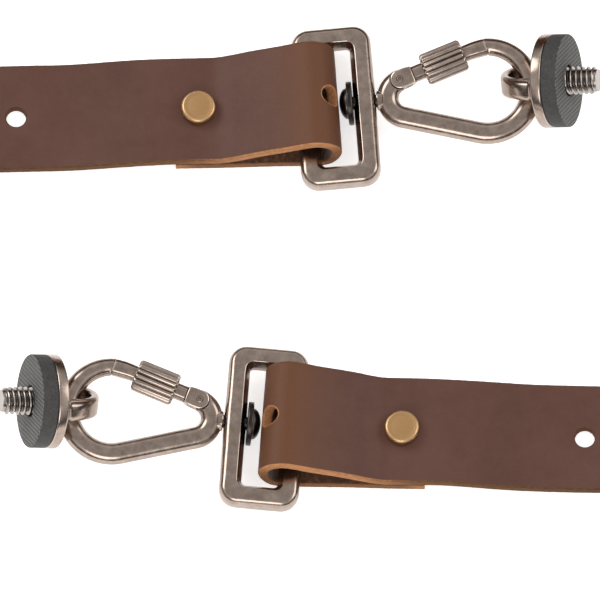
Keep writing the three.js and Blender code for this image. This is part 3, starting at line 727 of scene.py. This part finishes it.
def makeStrap():
    section = leatherSection()
    profile, foldHoleAt, rivetTopAt = endProfile()
    flatHoleAt = rivetTopAt + strap["holeOffset"]
    holes = []
    for at, radius in ((strap["lapLength"], strap["rivetHoleRadius"]), (foldHoleAt, strap["holeRadius"]),
                       (rivetTopAt, strap["rivetHoleRadius"]), (flatHoleAt, strap["holeRadius"])):
        holes.append((at, radius))
        holes.append((strapLength - at, radius))
    endZone = rivetTopAt + strap["twistStart"] + 4
    fineCount = int(endZone / strap["fineStep"])
    middleCount = int((strapLength - 2 * endZone) / strap["coarseStep"])
    rows = np.concatenate([
        np.linspace(0, endZone, fineCount + 1),
        np.linspace(endZone, strapLength - endZone, middleCount + 1)[1:],
        np.linspace(strapLength - endZone, strapLength, fineCount + 1)[1:],
    ])
    columns = strap["topColumns"]
    size = len(section)
    flatSpots, faces, zones = [], [], []
    for along in rows:
        for k, (across, above, _) in enumerate(section):
            rough = 0
            if abs(across) > strap["width"] / 2 - strap["edgeRound"] / 2:
                seed = math.copysign(strap["roughSeed"], across)
                spot = (along / strap["roughLength"], above * strap["roughRise"], seed)
                rough = strap["edgeRoughness"] * noise.noise(spot)
            seed = math.copysign(strap["wanderSeed"], across)
            wander = strap["edgeWander"] * noise.noise((along / strap["wanderLength"], seed, 0))
            flatSpots.append((along, across + math.copysign(rough, across) + wander, above))
    blocks = []
    for at, radius in holes:
        firstRow = int(np.searchsorted(rows, at - strap["holeBlock"]))
        lastRow = int(np.searchsorted(rows, at + strap["holeBlock"])) - 1
        blocks.append((at, radius, firstRow, lastRow))
    halfBlock = 3  # columns of the grid on each side of the middle that a hole's block takes
    blockColumns = {"top": (columns // 2 - halfBlock, columns // 2 + halfBlock)}
    bottomStart = next(k for k, spot in enumerate(section) if spot[2] == 2)
    blockColumns["bottom"] = (bottomStart + columns // 2 - halfBlock, bottomStart + columns // 2 + halfBlock)

    def inBlock(row, column):
        for _, _, firstRow, lastRow in blocks:
            if firstRow <= row < lastRow:
                for low, high in blockColumns.values():
                    if low <= column < high:
                        return True
        return False

    for row in range(len(rows) - 1):
        for k in range(size):
            if inBlock(row, k):
                continue
            after = (k + 1) % size
            faces.append((row * size + k, row * size + after, (row + 1) * size + after, (row + 1) * size + k))
            zones.append(section[k][2])
    last = (len(rows) - 1) * size
    for start in (0, last):  # the cut ends, as strips from the grain side to the flesh side
        for k in range(columns):
            top = (start + k, start + k + 1)
            bottom = (start + bottomStart + columns - k - 1, start + bottomStart + columns - k)
            faces.append((top[0], top[1], bottom[0], bottom[1]))
            zones.append(1)
        faces.append(tuple(start + k for k in range(columns, bottomStart + 1)))
        faces.append(tuple(start + k % size for k in range(bottomStart + columns, size + 1)))
        zones += [1, 1]

    for at, radius, firstRow, lastRow in blocks:
        rims = {}
        for side, (low, high) in blockColumns.items():
            border = [(firstRow, k) for k in range(low, high)]
            border += [(row, high) for row in range(firstRow, lastRow)]
            border += [(lastRow, k) for k in range(high, low, -1)]
            border += [(row, low) for row in range(lastRow, firstRow, -1)]
            if side == "bottom":  # the same way round as on the grain side
                turned = {(row, section[k][0]): (row, k) for row, k in border}
                border = [turned[(row, min((s for _, s in turned), key=lambda s: abs(s - across)))]
                          for row, across in rims["spots"]]
            else:
                rims["spots"] = [(row, section[k][0]) for row, k in border]
            ring = [row * size + k for row, k in border]
            height = section[low][1]
            angles = [math.atan2(section[k][0], rows[row] - at) for row, k in border]
            edges = [(rows[row] - at, section[k][0]) for row, k in border]
            for step in range(1, strap["holeRings"] + 3):
                share = min(1, step / strap["holeRings"])
                over = max(0, step - strap["holeRings"]) / 2  # round the hole's lip
                lip = strap["holeRound"]
                inner = radius + lip * (1 - math.sin(over * math.pi / 2))
                drop = lip * (1 - math.cos(over * math.pi / 2))
                fresh = []
                for angle, (x, y) in zip(angles, edges):
                    spotX = x + (inner * math.cos(angle) - x) * share
                    spotY = y + (inner * math.sin(angle) - y) * share
                    fresh.append(len(flatSpots))
                    flatSpots.append((at + spotX, spotY, height - math.copysign(drop, height)))
                for k in range(len(ring)):
                    after = (k + 1) % len(ring)
                    faces.append((ring[k], ring[after], fresh[after], fresh[k]))
                    zones.append(1 if over else (0 if side == "top" else 2))
                ring = fresh
            rims[side] = ring
        ring = rims["top"]
        reach = strap["thickness"] - 2 * strap["holeRound"]
        for step in range(1, strap["wallSteps"] + 1):
            if step == strap["wallSteps"]:
                fresh = rims["bottom"]
            else:
                fresh = []
                for k in ring:
                    x, y, z = flatSpots[k]
                    fresh.append(len(flatSpots))
                    flatSpots.append((x, y, z - reach / strap["wallSteps"]))
            for k in range(len(ring)):
                after = (k + 1) % len(ring)
                faces.append((ring[k], ring[after], fresh[after], fresh[k]))
                zones.append(1)
            ring = fresh

    used = sorted({k for face in faces for k in face})
    renamed = {old: new for new, old in enumerate(used)}
    faces = [tuple(renamed[k] for k in face) for face in faces]
    flatSpots = [flatSpots[k] for k in used]
    points = [tuple(leatherPoint(*spot)) for spot in flatSpots]
    nearEnd = [min(spot[0], strapLength - spot[0]) for spot in flatSpots]
    # The fold's crest gets a lighter, warmer brown: partly stretched leather, partly painted highlight
    crest = []
    for at in nearEnd:
        off = (at - foldHoleAt - strap["crestShift"]) / strap["crestSpread"]
        crest.append(min(1, strap["crestGain"] * math.exp(-off ** 2)))
    piece = addPiece("leather_strap_hide", (points, faces), rivetPlace, "strap",
                     [grain, rawEdge, flesh], zones, sharp=60, own=flatSpots, fine=crest)
    # Painted light and shade on the raw edge: how light it is, from the cut end to the flat hole, brightest on the
    # fold's crest
    edgeLightShades = [(0, 0.75), (5, 0.36), (foldHoleAt - 8, 0.38), (foldHoleAt + 2, 0.90),
                 (rivetTopAt - 8, 0.74), (rivetTopAt + 3, 0.28), (flatHoleAt, 0.20)]
    storeValues(piece.data, "edgeLightShade", np.interp(nearEnd, *zip(*edgeLightShades)))
    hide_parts("leather_strap")
    return foldHoleAt, rivetTopAt


foldHoleAt, rivetTopAt = makeStrap()
print("leather strap made:", round(strapLength), "mm long")


# The rivet, turned about its own upright axis
rivet = {"headRadius": 3.95, "headHeight": 2, "headRound": 0.8, "postRadius": 1.5,
         "backRadius": 3.5, "backHeight": 0.7, "sides": 96, "crown": 0.12}


def makeRivet(end):
    seat = layeredCentre + strap["thickness"] / 2 + 0.02
    top = seat + rivet["headHeight"] + 0.28
    head, rim = rivet["headRadius"], rivet["headRound"]
    outline = [(0, 0), (rivet["backRadius"] - 0.2, 0), (rivet["backRadius"], 0.2),
               (rivet["backRadius"], rivet["backHeight"]), (rivet["postRadius"], rivet["backHeight"]),
               (rivet["postRadius"], seat), (head - 0.25, seat), (head, seat + 0.25)]
    for k in range(6):
        angle = k / 5 * math.pi / 2
        outline.append((head - rim * (1 - math.cos(angle)), top - rim * (1 - math.sin(angle))))
    outline.append((head - rim - 0.18, top - 0.06))  # a shallow step inside the bright rim
    for share in (0.8, 0.6, 0.4, 0.2):
        radius = (head - rim - 0.3) * share
        outline.append((radius, top - 0.06 + rivet["crown"] * (1 - share ** 2)))
    outline.append((0, top - 0.06 + rivet["crown"]))
    shape = turnedShape(outline, rivet["sides"])
    upright = Matrix.Rotation(-math.pi / 2, 4, "Y")
    place = endPlaces[end] @ rivetPlace @ upright
    piece = addPiece("rivet_head_" + end, shape, place, "strap", [brass])
    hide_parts("rivet_" + end)


# The swivel loop: flat bars with a soft outer edge and a slope towards the middle of the loop
loop = {"depth": 18, "width": 38, "bar": 4.9, "height": 5, "outerRadius": 4, "innerRadius": 1,
        "innerSlope": 1.15, "innerFall": 1.8, "innerRound": 0.25,
        "outerSlope": 0.9, "outerFall": 1.1, "outerRound": 0.75,
        "bossLength": 11, "bossInward": 0.05, "bossOutward": 0.1, "bossPower": 0.7, "bossTaper": 0.35,
        "cornerSteps": 14, "barSteps": 40}


def loopSection(width):
    half, tall = width / 2, loop["height"] / 2
    inner, outer = loop["innerSlope"], loop["outerSlope"]
    innerFlat, outerFlat = tall - loop["innerFall"], tall - loop["outerFall"]
    outside = [(half - outer, -tall), (half, -outerFlat), (half, outerFlat), (half - outer, tall)]
    inside = [(inner - half, tall), (-half, innerFlat), (-half, -innerFlat), (inner - half, -tall)]
    rounded = []
    count = len(outside)
    whole = outside + inside
    for i, radius in enumerate([loop["outerRound"]] * count + [loop["innerRound"]] * count):
        corners = [whole[i - 1], whole[i], whole[(i + 1) % len(whole)]]
        rounded += roundCorners(corners, radius, 4, closed=False)[1:-1]
    return rounded


def makeLoop(end):
    outerX, outerY = loop["depth"] / 2, loop["width"] / 2
    innerX, innerY = outerX - loop["bar"], outerY - loop["bar"]
    outerRadius, innerRadius = loop["outerRadius"], loop["innerRadius"]
    rings = []
    for index, (signX, signY) in enumerate(((1, 1), (-1, 1), (-1, -1), (1, -1))):
        outerCentre = Vector((signX * (outerX - outerRadius), signY * (outerY - outerRadius), 0))
        innerCentre = Vector((signX * (innerX - innerRadius), signY * (innerY - innerRadius), 0))
        for step in range(loop["cornerSteps"] + 1):
            angle = (index + step / loop["cornerSteps"]) * math.pi / 2
            outward = Vector((math.cos(angle), math.sin(angle), 0))
            far, near = outerCentre + outward * outerRadius, innerCentre + outward * innerRadius
            across = far - near
            rings.append(ringPoints((far + near) / 2, across.normalized(), up, loopSection(across.length)))
    section = loopSection(loop["bar"])
    middle = outerX - loop["bar"] / 2
    tall = loop["height"] / 2
    straight = min(outerY - outerRadius, innerY - innerRadius)
    for step in range(1, loop["barSteps"]):  # the bar that carries the swivel swells round its bore
        y = straight * (2 * step / loop["barSteps"] - 1)
        swell = max(0, 1 - (2 * (y - swivelOffset) / loop["bossLength"]) ** 2) ** loop["bossPower"]
        ring = []
        for across, height in section:
            side = loop["bossOutward"] if across > 0 else -loop["bossInward"]
            taper = 1 - loop["bossTaper"] * abs(height) / tall
            ring.append(Vector((middle + across + side * swell * taper, y, height)))
        rings.append(ring)
    shape = sweepShape(rings, closed=True)
    place = endPlaces[end] @ loopPlace
    piece = addPiece("swivel_loop_" + end, shape, place, "strap", [gunmetal], sharp=50)
    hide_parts("frame_" + end)


# The swivel: a dark pin with a dome head and its washer
swivel = {"shank": 1.5, "domeRadius": 3.5, "domeHeight": 1.6, "washerRadius": 4.95, "washerThickness": 1.2,
          "washerFace": 3.85, "running": 0.25, "edgeRound": 0.3, "tail": 12.5, "sides": 80,
          "domeSteps": 13}


def makeSwivel(end):
    face = swivel["washerFace"]
    back = face - swivel["washerThickness"]
    bore = swivel["shank"] + swivel["running"]
    washer = [(bore, back), (swivel["washerRadius"], back), (swivel["washerRadius"], face), (bore, face)]
    washer = roundCorners(washer, swivel["edgeRound"], 4)
    place = endPlaces[end] @ hookPlace
    piece = addPiece("dome_washer_" + end, turnedShape([*washer, washer[0]], swivel["sides"]), place,
                     "hook_" + end, [darkMetal])
    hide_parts("swivel_washer_" + end)

    base = back - 0.05
    radius, height = swivel["domeRadius"], swivel["domeHeight"] + 0.2
    dome = []
    for k in range(swivel["domeSteps"] + 1):
        angle = k / swivel["domeSteps"] * math.pi / 2
        dome.append((radius * math.sin(angle), base - height * math.cos(angle)))
    pin = [*dome, (radius - 0.15, base), (swivel["shank"], base),
           (swivel["shank"], swivel["tail"]), (0, swivel["tail"])]
    piece = addPiece("dome_pin_" + end, turnedShape(pin, swivel["sides"]), place,
                     "hook_" + end, [darkMetal])
    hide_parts("swivel_pin_" + end)


# The hook's plane: x along the swivel's axis, y towards the gate
hook = {"width": 4.9, "thickness": 4, "slope": 1.25, "edgeRound": 0.75,
        "smallRadius": 4.45, "bowRadius": 9.75, "bowDistance": 18.15, "bowOffset": 0.05,
        "noseAngle": 87, "noseLift": 0.2, "noseLiftShare": 1 / 3, "noseWidth": 3.95, "taperSteps": 36,
        "noseRims": ((0.16, 0), (0.05, 0.03), (0, 0.1)),  # how much narrower, and how far along
        "start": 9.35, "neckRadius": 2.25, "tongue": 1.5, "earRadius": 2.1, "earRound": 0.3,
        "pinRadius": 0.8, "pinStand": 0.25, "pinPlay": 0.1, "sides": 48}


def onArc(centre, radius, angle):
    return centre + Vector((math.cos(angle), math.sin(angle), 0)) * radius


smallCentre = Vector((hook["start"] + hook["width"] / 2 + hook["smallRadius"], 0, 0))
bowCentre = smallCentre + Vector((hook["bowDistance"], hook["bowOffset"], 0))
centreTurn = math.atan2(hook["bowOffset"], hook["bowDistance"])
sideTurn = math.asin((hook["bowRadius"] - hook["smallRadius"]) / (bowCentre - smallCentre).length)
gateAngle = centreTurn + sideTurn
hinge = onArc(smallCentre, hook["smallRadius"], math.pi / 2 + gateAngle)
nose = onArc(bowCentre, hook["bowRadius"] + hook["noseLift"], math.radians(hook["noseAngle"]))


def hookSection(width, thickness):
    half, tall = width / 2, thickness / 2
    slope = min(hook["slope"], 0.3 * width, 0.3 * thickness)
    outline = [
        (half, slope - tall), (half, tall - slope), (half - slope, tall), (slope - half, tall),
        (-half, tall - slope), (-half, slope - tall), (slope - half, -tall), (half - slope, -tall),
    ]
    return roundCorners(outline, hook["edgeRound"], 3)


def makeHook(end):
    path = []

    def addArc(centre, radius, start, finish, steps, lift=0):
        for i in range(steps + 1):
            share = i / steps
            angle = start + (finish - start) * share
            extra = lift * max(0, 1 - share / hook["noseLiftShare"])
            path.append((onArc(centre, radius + extra, angle), onArc(Vector((0, 0, 0)), 1, angle)))

    lowAngle = centreTurn - sideTurn - math.pi / 2
    hingeAngle = math.pi / 2 + gateAngle - 2 * math.pi
    addArc(bowCentre, hook["bowRadius"], math.radians(hook["noseAngle"]), lowAngle, 60, hook["noseLift"])
    straightStart, straightEnd = path[-1][0], onArc(smallCentre, hook["smallRadius"], lowAngle)
    for share in np.linspace(0, 1, 14)[1:-1]:
        path.append((straightStart.lerp(straightEnd, share), path[-1][1]))
    addArc(smallCentre, hook["smallRadius"], lowAngle, hingeAngle, 40)
    square = onArc(Vector((0, 0, 0)), 1, gateAngle + math.pi / 2)
    path[0] = (path[0][0], square / square.dot(path[0][1]))

    rings = []
    for index, (spot, outward) in enumerate(path):
        width, thickness = hook["width"], hook["thickness"]
        width -= (width - hook["noseWidth"]) * max(0, 1 - index / hook["taperSteps"])
        if index == 0:  # the nose's cut end is square to the gate, its rim rounded
            along = (path[1][0] - spot).normalized()
            for inset, depth in hook["noseRims"]:
                rim = hookSection(width - inset, thickness - inset)
                centre = spot - outward.normalized() * 0.1 * inset + along * depth
                rings.append(ringPoints(centre, outward, up, rim))
            continue
        rings.append(ringPoints(spot, outward, up, hookSection(width, thickness)))
    shape = sweepShape(rings)
    upright = Matrix.Rotation(-math.pi / 2, 4, "Y")
    atHinge = Matrix.Translation(hinge)
    half = hook["thickness"] / 2
    ear = [(0, -half), (hook["earRadius"], -half), (hook["earRadius"], half), (0, half)]
    ear = roundCorners(ear, hook["earRound"], 3, closed=False)
    neckEnd = smallCentre.x - hook["smallRadius"]
    neckRadius, sides = hook["neckRadius"], hook["sides"]
    neck = [(0, hook["start"]), (neckRadius - 0.2, hook["start"]), (neckRadius, hook["start"] + 0.2),
            (neckRadius, neckEnd - 1.2), (0, neckEnd)]
    steps = [("UNION", movedShape(turnedShape(ear, sides), atHinge @ upright)),
             ("UNION", turnedShape(neck, sides))]
    pocket = hook["earRadius"] + 0.3
    for side in (-1, 1):
        low, high = sorted((side * hook["tongue"] / 2, side * (half + 1)))
        tool = turnedShape([(0, low), (pocket, low), (pocket, high), (0, high)], sides)
        steps.append(("DIFFERENCE", movedShape(tool, atHinge @ upright)))
    pinRadius = hook["pinRadius"]
    bore, past = pinRadius + hook["pinPlay"], half + 1
    hole = turnedShape([(0, -past), (bore, -past), (bore, past), (0, past)], 32)
    steps.append(("DIFFERENCE", movedShape(hole, atHinge @ upright)))
    shape = combinedShape(shape, steps, softness=0.12)
    place = endPlaces[end] @ hookPlace
    piece = addPiece("snap_hook_" + end, shape, place, "hook_" + end, [gunmetal], sharp=55)
    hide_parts("hook_body_" + end)

    reach = half + hook["pinStand"]
    pin = [(0, -reach + 0.12), (0.25, -reach), (pinRadius - 0.2, -reach), (pinRadius, -reach + 0.2),
           (pinRadius, reach - 0.2), (pinRadius - 0.2, reach), (0.35, reach), (0.2, reach - 0.25),
           (0, reach - 0.3)]
    piece = addPiece("hinge_pin_" + end, movedShape(turnedShape(pin, 40), atHinge @ upright), place,
                     "hook_" + end, [gunmetal])
    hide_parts("gate_pin_" + end)


# The gate in its own frame: the hinge at the origin, its rod along x
gate = {"rod": 1.8, "tip": 1.92, "rodFlat": 0.55, "rodRound": 0.35, "rodTuck": 1.2, "rodSteps": 40,
        "straightShare": 0.78, "bendPower": 1.6, "tipShare": 0.985, "tipInset": 0.04,
        "forkReach": 1.1, "slotGap": 0.3, "slotReach": 4, "running": 0.06}


def makeGate(end):
    back = Matrix.Rotation(-gateAngle, 4, "Z") @ Matrix.Translation(-hinge)
    tip = back @ nose
    bendAt = tip.x * gate["straightShare"]
    fork = hook["earRadius"] + gate["forkReach"]
    stop = tip.x - gate["running"]
    rings = []
    for share in np.linspace(0, 1, gate["rodSteps"]):
        x = fork - gate["rodTuck"] + (stop - fork + gate["rodTuck"]) * share
        over = max(0, (x - bendAt) / (stop - bendAt))
        lift = tip.y * (over ** gate["bendPower"])
        radius = gate["rod"] + (gate["tip"] - gate["rod"]) * min(1, over * 2)
        if share > gate["tipShare"]:
            radius -= gate["tipInset"]
        half = radius
        flat = half * gate["rodFlat"]
        outline = roundCorners([(half, -flat), (half, flat), (flat, half), (-flat, half),
                                (-half, flat), (-half, -flat), (-flat, -half), (flat, -half)],
                               gate["rodRound"], 3)
        rings.append(ringPoints(Vector((x, lift, 0)), Vector((0, 1, 0)), up, outline))
    rod = sweepShape(rings)
    thick = hook["thickness"] / 2
    radius = hook["earRadius"]
    backTurn = np.linspace(math.pi / 2, 3 * math.pi / 2, 25)
    plan = [(radius * math.cos(angle), radius * math.sin(angle)) for angle in backTurn]
    plan += [(fork * 0.5, -radius), (fork - 0.2, -gate["rod"] - 0.1), (fork, -gate["rod"] + 0.25),
             (fork, gate["rod"] - 0.25), (fork - 0.2, gate["rod"] + 0.1), (fork * 0.5, radius)]
    rings = []
    levels = [(-thick, 0.25), (-thick + 0.08, 0.08), (-thick + 0.25, 0),
              (thick - 0.25, 0), (thick - 0.08, 0.08), (thick, 0.25)]
    for height, inset in levels:
        scale = 1 - inset / radius
        rings.append([Vector((x * scale, y * scale, height)) for x, y in plan])
    block = sweepShape(rings)
    slotHalf = hook["tongue"] / 2 + gate["slotGap"]
    reach = radius + 0.3
    wide = gate["slotReach"]
    slotEnd = [(-wide, -slotHalf), (wide, -slotHalf), (wide, slotHalf), (-wide, slotHalf)]
    slot = sweepShape([[Vector((x, y, z)) for y, z in slotEnd] for x in (-wide, reach)])
    shape = combinedShape(rod, [("UNION", block), ("DIFFERENCE", slot)], softness=0.1)
    place = endPlaces[end] @ gatePlace
    piece = addPiece("hook_gate_" + end, shape, place, "gate_" + end, [gunmetal], sharp=50)
    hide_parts("gate_" + end)


# The fluted sleeve that locks the gate
sleeve = {"length": 9.8, "radius": 3.65, "bore": 2.5, "start": 5.7, "flutes": 16, "depth": 0.45,
          "chamfer": 0.4, "flutePower": 0.55, "perFlute": 12}


def makeSleeve(end):
    start, length, radius = sleeve["start"], sleeve["length"], sleeve["radius"]
    depth, cut = sleeve["depth"], sleeve["chamfer"]
    bore = sleeve["bore"]
    # One end from the bore outwards: place along, radius, and how deep the flutes are there
    nearSide = [
        (0.35, bore, 0), (0.05, bore + 0.12, 0), (0, bore + 0.25, 0), (0, radius - cut - 0.15, 0),
        (0.08, radius - cut, 0.25), (0.3, radius - 0.2, 0.8), (0.5, radius - 0.04, 1), (0.7, radius, 1),
    ]
    farSide = [(length - along, size, strength) for along, size, strength in reversed(nearSide)]
    count = sleeve["flutes"] * sleeve["perFlute"]
    rings = []
    for along, size, strength in [*nearSide, *farSide]:
        ring = []
        for k in range(count):
            angle = 2 * math.pi * k / count
            wave = 0.5 - 0.5 * math.cos(sleeve["flutes"] * angle)
            groove = depth * strength * (1 - wave ** sleeve["flutePower"])
            now = size - groove
            ring.append(Vector((start + along, now * math.cos(angle), now * math.sin(angle))))
        rings.append(ring)
    place = endPlaces[end] @ gatePlace
    piece = addPiece("fluted_sleeve_" + end, sweepShape(rings, closed=True), place,
                     "sleeve_" + end, [gunmetal], sharp=60)
    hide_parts("locking_sleeve_" + end)


# The camera mount in its own frame: x out of the pad's face, the disc's back at the origin
mount = {"radius": 10.6, "thickness": 2.4, "edgeRound": 0.45, "gap": 0.3, "sides": 128,
         "eyeReach": 9.7, "eyeHalfWidth": 8.8, "eyeThickness": 4.6, "eyeRound": 1.5, "eyeSink": 0.9,
         "holeRadius": 4.15, "holeDepth": 3.75, "legSteps": 8, "bowSteps": 32,
         "filletReach": 1.1, "filletRise": 0.7}
pad = {"radius": 10.5, "thickness": 3.4, "hole": 3.5, "edgeRound": 0.35, "sides": 128}
stud = {"radius": 3.175, "root": 2.5, "pitch": 1.27, "reach": 6.9, "seat": 1.3, "sides": 64, "tipSlope": 0.55,
        "rows": 90, "tipRise": 0.25, "crest": 1.25, "flank": 3.1, "runOutStart": 0.3, "runOutLength": 0.9}


def makeMount(end):
    thick, radius = mount["thickness"], mount["radius"]
    disc = [(0, 0), (radius, 0), (radius, thick), (0, thick)]
    disc = roundCorners(disc, mount["edgeRound"], 5, closed=False)
    base = turnedShape(disc, mount["sides"])
    hole, depth = mount["holeRadius"], mount["holeDepth"]
    outer = Vector((mount["eyeReach"], mount["eyeHalfWidth"], 0))
    spots = []  # inner and outer edge of the eye's wall, going round its hole
    sink, legSteps, bowSteps = mount["eyeSink"], mount["legSteps"], mount["bowSteps"]
    for step in range(legSteps + 1):
        x = sink - (sink + depth) * step / legSteps
        reach = outer.y * math.sqrt(max(0, 1 - min(0, x) ** 2 / outer.x ** 2))
        spots.append((Vector((x, hole, 0)), Vector((x, reach, 0))))
    for step in range(1, bowSteps):
        angle = math.pi * step / bowSteps
        out = Vector((-math.sin(angle), math.cos(angle), 0))
        inner = Vector((-depth, 0, 0)) + out * hole
        a = (out.x / outer.x) ** 2 + (out.y / outer.y) ** 2
        b = -2 * depth * out.x / outer.x ** 2
        c = (depth / outer.x) ** 2 - 1
        far = (-b + math.sqrt(b * b - 4 * a * c)) / (2 * a)
        spots.append((inner, Vector((-depth, 0, 0)) + out * far))
    for inner, out in reversed(spots[:legSteps + 1]):
        spots.append((Vector((inner.x, -inner.y, 0)), Vector((out.x, -out.y, 0))))
    rings = []
    for inner, out in spots:
        middle, side = (inner + out) / 2, (out - inner)
        nearDisc = max(0, 1 + inner.x / mount["filletReach"]) if inner.x < 0 else 1
        grow = mount["filletRise"] * min(1, nearDisc) ** 2
        half = side.length / 2
        tall = mount["eyeThickness"] / 2 + grow
        outline = [(half + grow, -tall), (half + grow, tall), (-half, tall), (-half, -tall)]
        outline = roundCorners(outline, min(mount["eyeRound"], half * 0.9), 5)
        rings.append(ringPoints(middle, side.normalized(), up, outline))
    standing = Matrix.Rotation(math.pi / 2, 4, "X")  # the hole runs along the mount's own y
    shape = combinedShape(base, [("UNION", movedShape(sweepShape(rings), standing))], softness=0.1)
    place = endPlaces[end] @ mountPlace
    piece = addPiece("mount_disc_" + end, shape, place, "hook_" + end, [gunmetal], sharp=50)
    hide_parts("mount_body_" + end)

    back = thick + 0.05
    face = thick + mount["gap"] + pad["thickness"]
    outline = [(pad["hole"], back), (pad["radius"], back), (pad["radius"], face), (pad["hole"], face)]
    outline = roundCorners(outline, pad["edgeRound"], 4)
    piece = addPiece("grip_pad_" + end, turnedShape([*outline, outline[0]], pad["sides"]), place,
                     "hook_" + end, [rubber])
    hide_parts("rubber_pad_" + end)

    # A real right-hand thread at both ends; end b is mirrored, so it is cut the other way there
    hand = 1 if end == "a" else -1
    finish = face + stud["reach"]
    tipStart = finish - stud["tipSlope"]
    alongs = np.linspace(stud["seat"], tipStart, stud["rows"])
    rings = []
    for along in [*alongs, finish - stud["tipRise"], finish]:
        ring = []
        for k in range(stud["sides"]):
            angle = 2 * math.pi * k / stud["sides"]
            phase = (along / stud["pitch"] - hand * angle / (2 * math.pi)) % 1
            ridge = min(1, max(0, stud["crest"] - stud["flank"] * abs(phase - 0.5)))
            limit = stud["radius"]
            if along > tipStart:
                fall = (along - finish + stud["tipSlope"]) / stud["tipSlope"]
                limit = stud["root"] + stud["tipRise"] - stud["tipRise"] * fall
            runOut = min(1, max(0, (tipStart + stud["runOutStart"] - along) / stud["runOutLength"]))
            now = min(limit, stud["root"] + (stud["radius"] - stud["root"]) * ridge * runOut)
            ring.append(Vector((along, now * math.cos(angle), now * math.sin(angle))))
        rings.append(ring)
    piece = addPiece("camera_screw_" + end, sweepShape(rings), place,
                     "hook_" + end, [nickel], sharp=60)
    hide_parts("screw_stud_" + end)


for end in ("a", "b"):
    makeRivet(end)
    makeLoop(end)
    makeSwivel(end)
    makeHook(end)
    makeGate(end)
    makeSleeve(end)
    makeMount(end)
    print("end", end, "made")


# Floor, light and camera
studio = {
    "floorSize": 6, "floorColour": (0.93, 0.93, 0.93), "floorGlow": 0.62, "floorRoughness": 0.9,
    "floorSpecular": 0.1, "worldStrength": 1.0,
    "sky": [(0.0, (0.03, 0.03, 0.03)), (0.22, (0.06, 0.06, 0.06)), (0.42, (0.55, 0.54, 0.53)),
            (0.68, (0.95, 0.95, 0.95)), (0.86, (0.66, 0.65, 0.64)), (1.0, (0.60, 0.59, 0.58))],
}
studioLights = [
    {"name": "key", "from": (-1.2, 0.7, 1.2), "size": 1.1, "power": 12},
    {"name": "fill", "from": (1.3, 0.2, 1.1), "size": 1.1, "power": 7},
    {"name": "front", "from": (-0.2, -1.3, 0.9), "size": 0.9, "power": 7},
]
photoView = {"elevation": 69, "distance": 8, "pixelsPerMetre": 4450, "pixels": 600,
             "aimShift": -0.0063, "sensor": 36, "nearest": 0.01}


def makeStudio():
    bpy.ops.mesh.primitive_plane_add(size=studio["floorSize"], location=(0, 0, 0))
    floor = bpy.context.object
    floor.name = "studio_floor"
    material = bpy.data.materials.new("studio_floor")
    material.use_nodes = True
    shader = material.node_tree.nodes["Principled BSDF"]
    shader.inputs["Base Color"].default_value = (*studio["floorColour"], 1)
    shader.inputs["Roughness"].default_value = studio["floorRoughness"]
    shader.inputs["Specular IOR Level"].default_value = studio["floorSpecular"]
    shader.inputs["Emission Color"].default_value = (1, 1, 1, 1)
    shader.inputs["Emission Strength"].default_value = studio["floorGlow"]
    floor.data.materials.append(material)

    world = bpy.data.worlds.new("studio")
    bpy.context.scene.world = world
    world.use_nodes = True
    tree = world.node_tree
    background = tree.nodes["Background"]
    direction = tree.nodes.new("ShaderNodeTexCoord")
    split = tree.nodes.new("ShaderNodeSeparateXYZ")
    tree.links.new(direction.outputs["Generated"], split.inputs["Vector"])
    colour = rampNode(tree, split.outputs["Z"], studio["sky"])
    tree.links.new(colour, background.inputs["Color"])
    background.inputs["Strength"].default_value = studio["worldStrength"]

    for light in studioLights:
        data = bpy.data.lights.new(light["name"], "AREA")
        data.shape = "DISK"
        data.size = light["size"]
        data.energy = light["power"]
        obj = bpy.data.objects.new("light_" + light["name"], data)
        bpy.context.scene.collection.objects.link(obj)
        obj.location = light["from"]
        obj.rotation_mode = "QUATERNION"
        obj.rotation_quaternion = (-Vector(light["from"])).to_track_quat("-Z", "Y")


def makeCamera():
    middleX = (swivelPoint.x + otherSwivel.x) / 2
    middleY = (swivelPoint.y + otherSwivel.y) / 2
    aim = Vector((middleX, middleY + photoView["aimShift"], 0))
    tilt = math.radians(photoView["elevation"])
    back = Vector((0, -math.cos(tilt), math.sin(tilt)))
    data = bpy.data.cameras.new("photo_camera")
    data.sensor_width = photoView["sensor"]
    data.lens = data.sensor_width * photoView["pixelsPerMetre"] * photoView["distance"] / photoView["pixels"]
    data.clip_start = photoView["nearest"]
    camera = bpy.data.objects.new("photo_camera", data)
    bpy.context.scene.collection.objects.link(camera)
    camera.location = aim + back * photoView["distance"]
    camera.rotation_mode = "QUATERNION"
    camera.rotation_quaternion = (-back).to_track_quat("-Z", "Y")
    bpy.context.scene.camera = camera


makeStudio()
makeCamera()
bpy.context.scene.view_settings.view_transform = "Standard"
print("studio and camera ready")
